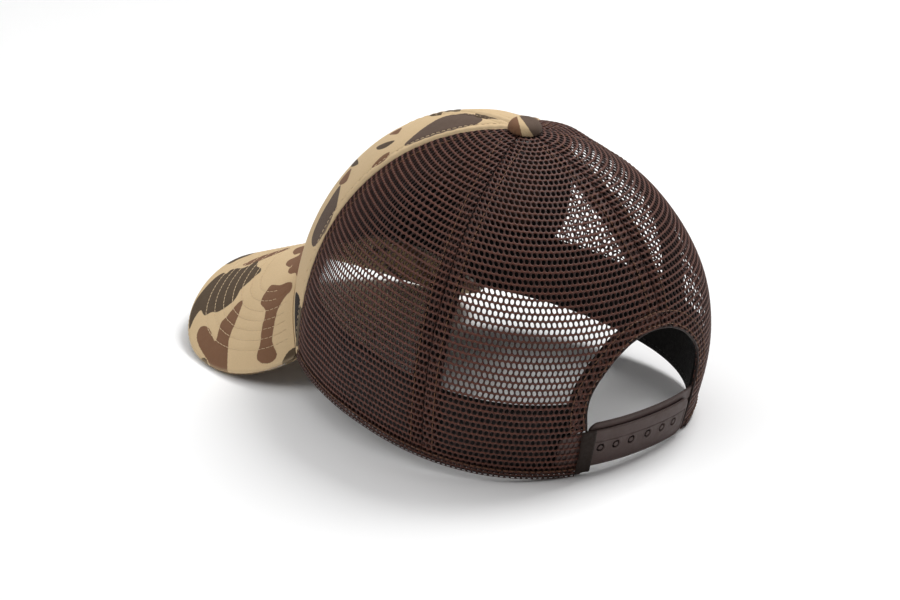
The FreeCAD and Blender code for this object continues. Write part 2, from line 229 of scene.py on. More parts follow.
def stitches(line, nrm, pitch=2.6, share=0.78, r=0.24, lift=0.08, seed=1, dip=0.42):
    """Separate thread stitches along a line of points with normals: each is a small loop that sinks at its ends."""
    rng = np.random.default_rng(seed)
    d = np.concatenate([[0], np.cumsum(np.linalg.norm(np.diff(line, axis=0), axis=1))])
    n = max(int(d[-1] / pitch), 1)
    w = np.array([-0.5, -0.36, 0.0, 0.36, 0.5]) * share
    rad = np.array([0.45, 0.9, 1.0, 0.9, 0.45]) * r
    hgt = np.array([-dip, 0.0, lift, 0.0, -dip])
    at = (np.arange(n)[:, None] + 0.5 + w[None]) * d[-1] / n
    p = np.stack([np.interp(at, d, line[:, k]) for k in range(3)], -1)
    m = unit(np.stack([np.interp(at, d, nrm[:, k]) for k in range(3)], -1))
    tan = unit(p[:, -1] - p[:, 0])[:, None]
    sid = unit(np.cross(tan, m))
    p = p + m * hgt[None, :, None] + sid * (rng.normal(0, 0.05, (n, 1, 1)) + w[None, :, None] / share * rng.normal(0.05, 0.12, (n, 1, 1)))
    k = 6
    ang = np.arange(k) / k * 2 * np.pi
    ring = p[:, :, None] + (sid[:, :, None] * np.cos(ang)[None, None, :, None] + m[:, :, None] * np.sin(ang)[None, None, :, None]) * rad[None, :, None, None]
    co = ring.reshape(-1, 3)
    j = np.arange(k)
    strip = []
    for s in range(4):
        a0, a1 = s * k + j, s * k + (j + 1) % k
        strip.append(np.stack([a0, a1, a1 + k, a0 + k], -1))
    strip = np.concatenate(strip)
    allq = (strip[None] + (np.arange(n) * 5 * k)[:, None, None]).reshape(-1, 4)
    caps = []
    for s0 in np.arange(n) * 5 * k:
        caps.append(list(s0 + j[::-1]))
        caps.append(list(s0 + 4 * k + j))
    return co, allq.tolist() + caps


def joined(parts):
    """Several (points, faces) as one."""
    cos, fs, n = [], [], 0
    for co, f in parts:
        cos.append(co)
        fs += [[int(x) + n for x in q] for q in f]
        n += len(co)
    return np.concatenate(cos), fs


# ---------------------------------------------------------------- materials
def material(name):
    m = bpy.data.materials.new(name)
    m.use_nodes = True
    nt = m.node_tree
    bsdf = nt.nodes["Principled BSDF"]
    return m, nt, bsdf


def attr(nt, key, out="Fac"):
    n = nt.nodes.new("ShaderNodeAttribute")
    n.attribute_name = key
    return n.outputs[out]


def math_node(nt, op, a, b=None, clamp=False):
    n = nt.nodes.new("ShaderNodeMath")
    n.operation = op
    n.use_clamp = clamp
    for i, v in enumerate((a, b)):
        if v is None:
            continue
        if hasattr(v, "links"):
            nt.links.new(v, n.inputs[i])
        else:
            n.inputs[i].default_value = v
    return n.outputs[0]


def remap(nt, v, a, b, c=0.0, d=1.0, smooth=True):
    n = nt.nodes.new("ShaderNodeMapRange")
    n.interpolation_type = "SMOOTHSTEP" if smooth else "LINEAR"
    nt.links.new(v, n.inputs["Value"])
    for k, x in (("From Min", a), ("From Max", b), ("To Min", c), ("To Max", d)):
        n.inputs[k].default_value = x
    return n.outputs["Result"]


def noise(nt, vec, scale, detail=3.0, rough=0.55):
    n = nt.nodes.new("ShaderNodeTexNoise")
    n.inputs["Scale"].default_value = scale
    n.inputs["Detail"].default_value = detail
    n.inputs["Roughness"].default_value = rough
    if vec is not None:
        nt.links.new(vec, n.inputs["Vector"])
    return n.outputs["Fac"]


def place_vec(nt):
    return nt.nodes.new("ShaderNodeNewGeometry").outputs["Position"]


def obj_vec(nt):
    return nt.nodes.new("ShaderNodeTexCoord").outputs["Object"]


def mix(nt, fac, a, b):
    n = nt.nodes.new("ShaderNodeMix")
    n.data_type = "RGBA"
    nt.links.new(fac, n.inputs[0])
    for i, v in ((6, a), (7, b)):
        if hasattr(v, "links"):
            nt.links.new(v, n.inputs[i])
        else:
            n.inputs[i].default_value = (*v, 1.0)
    return n.outputs[2]


def shade(nt, col, fac, lo, hi):
    """Colour times a factor that runs from lo to hi."""
    v = remap(nt, fac, 0.25, 0.75, lo, hi, False)
    n = nt.nodes.new("ShaderNodeVectorMath")
    n.operation = "SCALE"
    nt.links.new(col, n.inputs[0])
    nt.links.new(v, n.inputs["Scale"])
    return n.outputs["Vector"]


def bump(nt, bsdf, height, dist, strength=1.0, prev=None):
    n = nt.nodes.new("ShaderNodeBump")
    n.inputs["Strength"].default_value = strength
    n.inputs["Distance"].default_value = dist
    nt.links.new(height, n.inputs["Height"])
    if prev is not None:
        nt.links.new(prev, n.inputs["Normal"])
    nt.links.new(n.outputs["Normal"], bsdf.inputs["Normal"])
    return n.outputs["Normal"]


def weave(nt, pitch=0.5, twill=0.0):
    """Height of a plain or twill weave from the cloth's own coordinates, in millimetres."""
    sep = nt.nodes.new("ShaderNodeSeparateXYZ")
    nt.links.new(attr(nt, "cloth", "Vector"), sep.inputs[0])
    k = 2 * math.pi / pitch
    u = math_node(nt, "MULTIPLY", sep.outputs[0], k)
    v = math_node(nt, "MULTIPLY", sep.outputs[1], k)
    if twill:
        v = math_node(nt, "ADD", v, math_node(nt, "MULTIPLY", u, twill))
    su, sv = math_node(nt, "SINE", u), math_node(nt, "SINE", v)
    h = math_node(nt, "MULTIPLY", su, sv)
    return math_node(nt, "ADD", math_node(nt, "MULTIPLY", h, 0.5), 0.5)


def srgb(r, g, b):
    def one(c):
        c /= 255.0
        return c / 12.92 if c <= 0.04045 else ((c + 0.055) / 1.055) ** 2.4
    return (one(r), one(g), one(b))


def cotton_print(name, seed=0):
    m, nt, b = material(name)
    P = place_vec(nt) if False else obj_vec(nt)
    edge = math_node(nt, "MULTIPLY", math_node(nt, "SUBTRACT", noise(nt, P, 900.0, 2.0), 0.5), 0.55)
    col = mix(nt, noise(nt, P, 60.0, 3.0), srgb(206, 180, 142), srgb(197, 171, 132))
    for key, c1, c2 in (("ink_grey", srgb(94, 77, 66), srgb(86, 70, 59)),
                        ("ink_brown", srgb(122, 87, 62), srgb(112, 79, 56)),
                        ("ink_dark", srgb(82, 66, 48), srgb(73, 58, 42)),
                        ("ink_black", srgb(34, 22, 17), srgb(29, 19, 15))):
        s = math_node(nt, "ADD", attr(nt, key), edge)
        mask = remap(nt, s, -0.16, 0.16, 1.0, 0.0)
        ink = mix(nt, noise(nt, P, 140.0, 3.0), c1, c2)
        col = mix(nt, mask, col, ink)
    w = weave(nt, 0.62, 0.5)
    col = shade(nt, col, w, 0.93, 1.05)
    col = shade(nt, col, noise(nt, P, 1500.0, 2.0), 0.955, 1.045)
    wear = attr(nt, "wear")
    col = mix(nt, wear, col, srgb(214, 192, 158))
    nt.links.new(col, b.inputs["Base Color"])
    r = remap(nt, noise(nt, P, 400.0, 3.0), 0.3, 0.7, 0.80, 0.93, False)
    nt.links.new(r, b.inputs["Roughness"])
    b.inputs["Sheen Weight"].default_value = 0.03
    b.inputs["Sheen Roughness"].default_value = 0.6
    b.inputs["Specular IOR Level"].default_value = 0.25
    n = bump(nt, b, w, 0.00009, 0.55)
    bump(nt, b, noise(nt, P, 260.0, 4.0), 0.00025, 0.25, n)
    return m


def cloth_dark(name, c1, c2, pitch=0.7, twill=0.0, rough=(0.7, 0.9), sheen=0.15, bumpd=0.00012):
    m, nt, b = material(name)
    P = obj_vec(nt)
    w = weave(nt, pitch, twill)
    col = mix(nt, noise(nt, P, 300.0, 4.0), c1, c2)
    col = shade(nt, col, w, 0.72, 1.18)
    nt.links.new(col, b.inputs["Base Color"])
    nt.links.new(remap(nt, noise(nt, P, 500.0, 2.0), 0.3, 0.7, rough[0], rough[1], False), b.inputs["Roughness"])
    b.inputs["Sheen Weight"].default_value = sheen
    b.inputs["Specular IOR Level"].default_value = 0.3
    n = bump(nt, b, w, bumpd, 0.7)
    bump(nt, b, noise(nt, P, 700.0, 3.0), 0.0002, 0.25, n)
    return m


def net_yarn(name, c_dark, c_highlight):
    m, nt, b = material(name)
    P = obj_vec(nt)
    # the lighter colour is a painted highlight on the bridging strands; the noise adds the yarn's own varying tone
    f = math_node(nt, "ADD", math_node(nt, "MULTIPLY", attr(nt, "bridge_highlight"), 0.55), math_node(nt, "MULTIPLY", noise(nt, P, 900.0, 3.0), 0.6))
    col = mix(nt, remap(nt, f, 0.15, 0.95), c_dark, c_highlight)
    col = shade(nt, col, noise(nt, P, 45.0, 2.0), 0.85, 1.15)
    nt.links.new(col, b.inputs["Base Color"])
    nt.links.new(remap(nt, noise(nt, P, 1200.0, 2.0), 0.3, 0.7, 0.42, 0.68, False), b.inputs["Roughness"])
    b.inputs["Sheen Weight"].default_value = 0.03
    b.inputs["Specular IOR Level"].default_value = 0.35
    bump(nt, b, noise(nt, P, 1800.0, 4.0, 0.7), 0.0004, 0.6)
    return m


def thread(name, c1, c2):
    m, nt, b = material(name)
    P = obj_vec(nt)
    col = mix(nt, noise(nt, P, 1500.0, 3.0), c1, c2)
    nt.links.new(col, b.inputs["Base Color"])
    nt.links.new(remap(nt, noise(nt, P, 900.0, 2.0), 0.3, 0.7, 0.5, 0.75, False), b.inputs["Roughness"])
    b.inputs["Sheen Weight"].default_value = 0.1
    bump(nt, b, noise(nt, P, 4000.0, 3.0), 0.0001, 0.5)
    return m


def plastic(name, c1, c2, rough=(0.38, 0.52), grain=2200.0, gd=0.00005):
    m, nt, b = material(name)
    P = obj_vec(nt)
    col = mix(nt, noise(nt, P, 70.0, 4.0), c1, c2)
    col = shade(nt, col, noise(nt, P, 900.0, 3.0), 0.95, 1.05)
    nt.links.new(col, b.inputs["Base Color"])
    nt.links.new(remap(nt, noise(nt, P, 260.0, 4.0), 0.3, 0.7, rough[0], rough[1], False), b.inputs["Roughness"])
    b.inputs["Specular IOR Level"].default_value = 0.45
    bump(nt, b, noise(nt, P, grain, 3.0), gd, 0.35)
    return m


def metal(name):
    m, nt, b = material(name)
    P = obj_vec(nt)
    col = mix(nt, noise(nt, P, 200.0, 4.0), (0.55, 0.54, 0.52), (0.42, 0.41, 0.40))
    nt.links.new(col, b.inputs["Base Color"])
    b.inputs["Metallic"].default_value = 1.0
    nt.links.new(remap(nt, noise(nt, P, 500.0, 4.0), 0.3, 0.7, 0.25, 0.5, False), b.inputs["Roughness"])
    bump(nt, b, noise(nt, P, 1500.0, 3.0), 0.00004, 0.3)
    return m


M_print = cotton_print("printed_cotton_twill")
# net: the dark yarn colour, and the lighter colour that is painted on the strands as a highlight
M_net = net_yarn("net_polyester", srgb(35, 14, 10), srgb(98, 55, 41))
M_fold = cloth_dark("net_folded_edge", srgb(48, 32, 27), srgb(35, 23, 19), 0.9, 0.6)
M_tape = cloth_dark("seam_tape_woven", srgb(34, 24, 21), srgb(26, 18, 15), 0.8, 0.0, sheen=0.03)
M_band = cloth_dark("sweatband_twill", srgb(19, 14, 13), srgb(12, 9, 8), 0.6, 1.0, sheen=0.03)
M_lining = cloth_dark("band_lining_felt", srgb(46, 40, 38), srgb(34, 29, 28), 1.1, 0.0, bumpd=0.0002)
M_buckram = cloth_dark("buckram_fused_gauze", srgb(76, 54, 44), srgb(62, 43, 35), 1.3, 0.0, sheen=0.03, bumpd=0.0002)
M_label = cloth_dark("woven_label", srgb(42, 29, 21), srgb(32, 21, 15), 0.45, 1.0, sheen=0.02)
M_thread_tan = thread("thread_tan", srgb(206, 182, 146), srgb(188, 162, 126))
M_thread_brown = thread("thread_brown", srgb(72, 52, 45), srgb(52, 36, 31))
M_thread_gold = thread("thread_golden_brown", srgb(124, 84, 54), srgb(98, 64, 41))
M_thread_black = thread("thread_black", srgb(36, 31, 31), srgb(24, 20, 20))
M_strap = plastic("strap_moulded_brown", srgb(78, 60, 56), srgb(70, 54, 50), (0.5, 0.66))
M_board = plastic("visor_board_plastic", srgb(222, 220, 212), srgb(210, 207, 198), (0.3, 0.45))
M_metal = metal("plated_steel")

# --------------------------------------------------- printed shapes as distances
def smooth_closed(pts, n=6):
    p = np.asarray(pts, float)
    a, b, c, d = np.roll(p, 1, 0), p, np.roll(p, -1, 0), np.roll(p, -2, 0)
    w = (np.arange(n) / n)[None, :, None]
    a, b, c, d = (x[:, None] for x in (a, b, c, d))
    q = b + 0.5 * w * (c - a + w * (2 * a - 5 * b + 4 * c - d + w * (3 * (b - c) + d - a)))
    return q.reshape(-1, 2)


def poly_dist(P, poly, reach=12.0):
    """Signed distance to a closed outline, negative inside, at most reach."""
    out = np.full(len(P), reach)
    lo, hi = poly.min(0) - reach, poly.max(0) + reach
    near = np.nonzero(((P > lo) & (P < hi)).all(1))[0]
    if not len(near):
        return out
    Q = P[near]
    best = np.full(len(Q), 1e9)
    inside = np.zeros(len(Q), bool)
    A, B = poly, np.roll(poly, -1, 0)
    for a, b in zip(A, B):
        ab = b - a
        w = Q - a
        k = np.clip((w @ ab) / max(ab @ ab, 1e-12), 0, 1)
        best = np.minimum(best, ((w - k[:, None] * ab) ** 2).sum(1))
        c = (a[1] > Q[:, 1]) != (b[1] > Q[:, 1])
        x = a[0] + (Q[:, 1] - a[1]) * ab[0] / (ab[1] if abs(ab[1]) > 1e-12 else 1e-12)
        inside ^= c & (Q[:, 0] < x)
    dist = np.sqrt(best)
    out[near] = np.minimum(np.where(inside, -dist, dist), reach)
    return out


def blob(centre, size, angle, kind, rng):
    """Outline of one printed shape: a bone, a leaf with a notched edge, a spike or a bean."""
    n = 26
    a = np.arange(n) / n * 2 * np.pi
    if kind == "bone":
        r = 1 + 0.0 * a
        x = np.cos(a) * 1.0
        y = np.sin(a) * (0.26 + 0.20 * np.abs(np.cos(a)) ** 3) * (1 + 0.3 * np.sin(a + rng.random() * 6))
    elif kind == "leaf":
        x = np.cos(a)
        y = np.sin(a) * 0.45 * (1 - 0.45 * np.cos(a))
        k = 1 + 0.13 * np.sin(9 * a + rng.random() * 6) * (np.sin(a) > 0)
        x, y = x * k, y * k
    elif kind == "spike":
        x = np.cos(a)
        y = np.sin(a) * 0.30 * (1 - 0.88 * np.cos(a)) * 0.62
    else:
        x = np.cos(a)
        y = np.sin(a) * 0.5 + 0.22 * np.cos(2 * a)
    wob = 1 + 0.06 * np.sin(3 * a + rng.random() * 6) + 0.05 * np.sin(5 * a + rng.random() * 6)
    p = np.stack([x * wob, y * wob], -1) * size
    p[:, 1] += 0.12 * size * (p[:, 0] / size) ** 2 * rng.choice([-1, 1])
    c, s = math.cos(angle), math.sin(angle)
    return p @ np.array([[c, s], [-s, c]]) + np.asarray(centre)


def scatter(lo, hi, step, seed, avoid=()):
    """Seeded printed shapes over a rectangle, kept away from the ones already there."""
    rng = np.random.default_rng(seed)
    out = []
    kinds = ("bone", "leaf", "spike", "bean", "leaf", "bone")
    inks = ("ink_brown", "ink_dark", "ink_grey", "ink_brown", "ink_dark", "ink_black")
    x, row = lo[0], 0
    while x < hi[0]:
        y = lo[1] + (row % 2) * step * 0.5
        while y < hi[1]:
            c = np.array([x, y]) + rng.normal(0, step * 0.13, 2)
            size = step * (0.42 + 0.2 * rng.random())
            i, ang = int(rng.integers(0, 6)), rng.normal(1.2, 0.5)
            if i == 5:
                size *= 0.5
            if all(np.linalg.norm(c - np.asarray(v)[:2]) > v[2] + size * 0.8 for v in avoid):
                out.append((inks[i], smooth_closed(blob(c, size, ang, kinds[i], rng), 3)))
            y += step
        x += step * 0.86
        row += 1
    return out


def inks(P, shapes):
    res = {k: np.full(len(P), 12.0) for k in ("ink_grey", "ink_brown", "ink_dark", "ink_black")}
    for k, poly in shapes:
        res[k] = np.minimum(res[k], poly_dist(P, poly))
    return res


# ------------------------------------------------------------- front panels
chart_t, chart_s = meridian(lambda t: 25.0 + 0 * t)


def chart(f, t):
    """Flat coordinates of the front panels, millimetres."""
    return np.stack([f * per_deg(25.0 + 0 * t, t), np.interp(t, chart_t, chart_s)], -1)


FRONT_SHAPES = [
    ("ink_grey", [(42.5, .638), (36.5, .669), (26.2, .712), (11.2, .758), (7, .82), (17.5, .872), (31, .872), (41, .848), (45.8, .80), (46.6, .74), (46.2, .68), (45.2, .648)]),
    ("ink_dark", [(14, .853), (3, .835), (-8.2, .84), (-25, .86), (-43.2, .886), (-11.5, .952), (7.5, .922), (15.5, .889)]),
    ("ink_dark", [(25.2, .514), (31.5, .593), (34.5, .567), (31, .53)]),
    ("ink_dark", [(-0.8, .633), (-6, .679), (8.8, .715), (6, .67)]),
    ("ink_brown", [(15.5, .537), (14.5, .583), (23.5, .593), (20, .56)]),
    ("ink_dark", [(18.8, .376), (17.5, .395), (28.8, .441), (25, .40)]),
    ("ink_brown", [(27.8, .352), (26.2, .402), (35.8, .408), (33, .37)]),
    ("ink_brown", [(44.8, .521), (41.5, .55), (42, .586), (47.2, .567)]),
    ("ink_grey", [(33, .369), (45, .372), (48.8, .339), (48.8, .28), (45.2, .234), (39.8, .221), (36.8, .254), (34.8, .31)]),
    ("ink_black", [(41.5, .066), (47.5, .105), (52.6, .108), (54.6, .085), (54.6, .045), (53.0, .015), (49.0, .022), (44.5, .040)]),
]


def front_shapes(side):
    out, avoid = [], []
    for ink, pts in FRONT_SHAPES:
        p = np.array(pts, float)
        q = chart(p[:, 0], np.maximum(p[:, 1], 0)) + np.stack([0 * p[:, 0], np.minimum(p[:, 1], 0) * 150], -1)
        if side > 0:
            out.append((ink, smooth_closed(q, 5)))
            avoid.append((*q.mean(0), 0.55 * np.ptp(q, axis=0).max()))
    out += scatter((4, 4), (70 if side > 0 else 104, 150), 30.0, 5 if side > 0 else 9, avoid)
    return out


def front_panel(side, name):
    nu, nv = 96, 230
    t = np.linspace(0, T_TOP, nv)[None]
    u = np.linspace(0, 1, nu)[:, None]
    fa, fb = 0.12, (seam_front if side > 0 else seam_front_right)(t) - 0.12
    f = fa + (fb - fa) * u + 0 * t
    t = t + 0 * u
    pm = per_deg(f, t)
    d0, d1 = (f - fa) * pm, (fb - f) * pm
    dn = np.minimum(d0, d1)
    sid = np.interp(t, chart_t, chart_s)
    off = 0.30 * noise2(f * 1.2, sid, 3 if side > 0 else 4, 60.0)
    off = off * np.clip(dn / 12, 0, 1) * np.clip(sid / 12, 0, 1)
    off = off - 0.75 * np.exp(-(dn / 0.8) ** 2) + 0.28 * np.exp(-((dn - 2.0) / 1.3) ** 2)
    off = off - 0.28 * np.exp(-((dn - 4.2) / 0.55) ** 2)
    off = off + 0.10 * np.sin(sid / 5.2 * 2 * np.pi + 3 * np.sin(sid / 31)) * np.exp(-((dn - 2) / 4.0) ** 2)
    outer = skin(f, t, off)
    inner = skin(f, t, np.minimum(off, 0.3) - 0.55)
    if side < 0:
        outer, inner = outer * [-1, 1, 1], inner * [-1, 1, 1]
    uv = chart(f, t)
    co, faces = slab(outer, inner)
    at = inks(uv.reshape(-1, 2), front_shapes(side))
    at = {k: np.concatenate([v, v]) for k, v in at.items()}
    at["cloth"] = two(np.dstack([uv[..., 0], uv[..., 1], 0 * t]))
    at["wear"] = two(0.25 * np.exp(-((dn - 0.9) / 0.8) ** 2))
    ob = build(name, co, faces, M_print, attrs=at, replaces=("front_panel_left" if side > 0 else "front_panel_right",))
    return ob


front_panel(1, "front_panel_left_cloth")
front_panel(-1, "front_panel_right_cloth")


def seam_line(fn, dist, ta, tb, off, n=200, side=1):
    """A line at a distance in mm from a seam, with normals; mirrored for the right-hand side."""
    t = np.linspace(ta, tb, n)
    f = fn(t)
    f = f + dist / per_deg(f, t)
    p, m = skin(f, t, off), normal(f, t)
    if side < 0:
        p, m = p * [-1, 1, 1], m * [-1, 1, 1]
    return p, m


rows = []
for sd in (1, -1):
    rows.append(stitches(*seam_line(lambda t: 0 * t, 4.2, 0.005, 0.955, -0.10, side=sd), seed=11))
    rows.append(stitches(*seam_line(seam_front if sd > 0 else seam_front_right, -4.2, 0.005, 0.955, -0.10, side=sd), seed=12))
co, fc = joined(rows)
build("front_topstitching", co, fc, M_thread_tan, fix=False)

# Buckram backing of the front panels
for sd, nm in ((1, "left"), (-1, "right")):
    t = np.linspace(0.02, 0.945, 110)[None]
    u = np.linspace(0, 1, 46)[:, None]
    f = 0.6 + ((seam_front if sd > 0 else seam_front_right)(t) - 1.6 - 0.6) * u
    t = t + 0 * u
    o, i = skin(f, t, -0.72 + 0.05 * noise2(f, t * 150, 8, 14)), skin(f, t, -1.22 + 0.08 * noise2(f, t * 150, 8, 14))
    if sd < 0:
        o, i = o * [-1, 1, 1], i * [-1, 1, 1]
    uv = chart(f, t)
    co, fc = slab(o, i)
    ob = build("front_buckram_%s_gauze" % nm, co, fc, M_buckram, attrs={"cloth": two(np.dstack([uv[..., 0], uv[..., 1], 0 * t]))},
               replaces=("front_buckram_" + nm,))

# --------------------------------------------------------------- rear opening
ARCH_HALF = np.array([(-12.0, 33.0), (0.0, 33.0), (8.0, 33.0), (16.0, 33.8), (25.0, 35.0), (33.0, 36.0), (40.0, 35.0),
                      (45.0, 32.4), (49.5, 28.6), (54.0, 23.6), (57.5, 18.2), (60.5, 11.0), (62.0, 0.0)])
half = np.stack([ARCH_HALF[:, 1], ARCH_HALF[:, 0]], -1)
arch_pts = np.concatenate([half, (half * [-1, 1])[::-1][1:]])
ext = np.concatenate([[2 * arch_pts[0] - arch_pts[1]], arch_pts, [2 * arch_pts[-1] - arch_pts[-2]]])
w_ = (np.arange(8) / 8)[None, :, None]
A_, B_, C_, D_ = ext[:-3, None], ext[1:-2, None], ext[2:-1, None], ext[3:, None]
arch_line = (B_ + 0.5 * w_ * (C_ - A_ + w_ * (2 * A_ - 5 * B_ + 4 * C_ - D_ + w_ * (3 * (B_ - C_) + D_ - A_)))).reshape(-1, 2)
arch_line = np.concatenate([arch_line, arch_pts[-1:]]) + [0, Z_SHIFT]
arch_poly = arch_line


def arch_dist(P):
    """Distance outside the rear opening's outline, negative in the opening; P are points in 3-D."""
    Q = P.reshape(-1, 3)[:, [0, 2]]
    d = poly_dist(Q, arch_poly, 40.0)
    d = np.where(P.reshape(-1, 3)[:, 1] > 60, d, 40.0)
    return d.reshape(P.shape[:-1])


# ------------------------------------------------------------------- the net
PX, PY = 2.40, 3.00
HEX = np.array([(1.2, -1.26), (1.2, 0), (1.2, 1.26), (0.6, 1.5), (0, 1.74), (-0.6, 1.5), (-1.2, 1.26), (-1.2, 0), (-1.2, -1.26), (-0.6, -1.5), (0, -1.74), (0.6, -1.5)])
ang_ = np.arctan2(HEX[:, 1] / 1.22, HEX[:, 0] / 0.86)
HOLE = np.stack([0.80 * np.sign(np.cos(ang_)) * np.abs(np.cos(ang_)) ** 0.85, 1.13 * np.sign(np.sin(ang_)) * np.abs(np.sin(ang_)) ** 0.85], -1)


def lattice(cells):
    """Net strands round the given cell centres: flat points (u, v, height), quads (one closed mesh) and each point's
    amount of painted highlight.
    """
    n = len(cells)
    out = cells[:, None] + HEX[None]
    key = np.round(out * 50).astype(np.int64)
    code = key[..., 0] * 1000003 + key[..., 1]
    uniq, first, inv = np.unique(code.ravel(), return_index=True, return_inverse=True)
    bp = out.reshape(-1, 2)[first]
    nb = len(bp)
    inv = inv.reshape(n, 12)
    lean = np.where(np.round(cells[:, 1] / PY - 0.5).astype(int) % 2 == 0, 1.0, -1.0) * 14.0 * D2R
    cl, sl = np.cos(lean)[:, None], np.sin(lean)[:, None]
    hole = np.stack([HOLE[None, :, 0] * cl - HOLE[None, :, 1] * sl, HOLE[None, :, 0] * sl + HOLE[None, :, 1] * cl], -1)
    mid = cells[:, None] + HEX[None] * 0.42 + hole * 0.58
    hol = cells[:, None] + hole
    # per corner of a cell: how much painted highlight its strand gets, most on the top and bottom bridges; the same
    # values set which strands rise
    kind = np.array([0.35, 0.0, 0.35, 0.8, 1.0, 0.8, 0.35, 0.0, 0.35, 0.8, 1.0, 0.8])
    kb = np.tile(kind, n)[first]
    TH, SH = 0.30, 0.22
    rise = np.tile(np.where(kind < 0.5, 0.05, -0.02), n)[first]
    pts = np.concatenate([
        np.column_stack([bp, TH + rise]), np.column_stack([bp, -TH + 0 * rise]),
        np.column_stack([mid.reshape(-1, 2), np.full(n * 12, SH)]), np.column_stack([mid.reshape(-1, 2), np.full(n * 12, -SH)]),
        np.column_stack([hol.reshape(-1, 2), np.zeros(n * 12)])])
    bridge_highlight = np.concatenate([kb, kb, np.tile(kind, n), np.tile(kind, n), np.tile(kind, n) * 0.8])
    m0, m1, h0 = 2 * nb, 2 * nb + 12 * n, 2 * nb + 24 * n
    own = np.arange(n * 12).reshape(n, 12)
    nxt = np.roll(own, -1, 1)
    b0, b1 = inv, np.roll(inv, -1, 1)
    q = [np.stack([b0, b1, nxt + m0, own + m0], -1), np.stack([own + m0, nxt + m0, nxt + h0, own + h0], -1),
         np.stack([own + h0, nxt + h0, nxt + m1, own + m1], -1), np.stack([own + m1, nxt + m1, b1 + nb, b0 + nb], -1)]
    faces = np.concatenate([x.reshape(-1, 4) for x in q])
    # the rim of the whole net is closed between its upper and lower boundary points
    e = np.stack([b0.ravel(), b1.ravel()], -1)
    k = np.sort(e, axis=1)
    kk = k[:, 0] * 10000019 + k[:, 1]
    u2, f2, c2 = np.unique(kk, return_index=True, return_counts=True)
    r = e[f2[c2 == 1]]
    faces = np.concatenate([faces, np.stack([r[:, 1], r[:, 0], r[:, 0] + nb, r[:, 1] + nb], -1)])
    return pts, faces, bridge_highlight


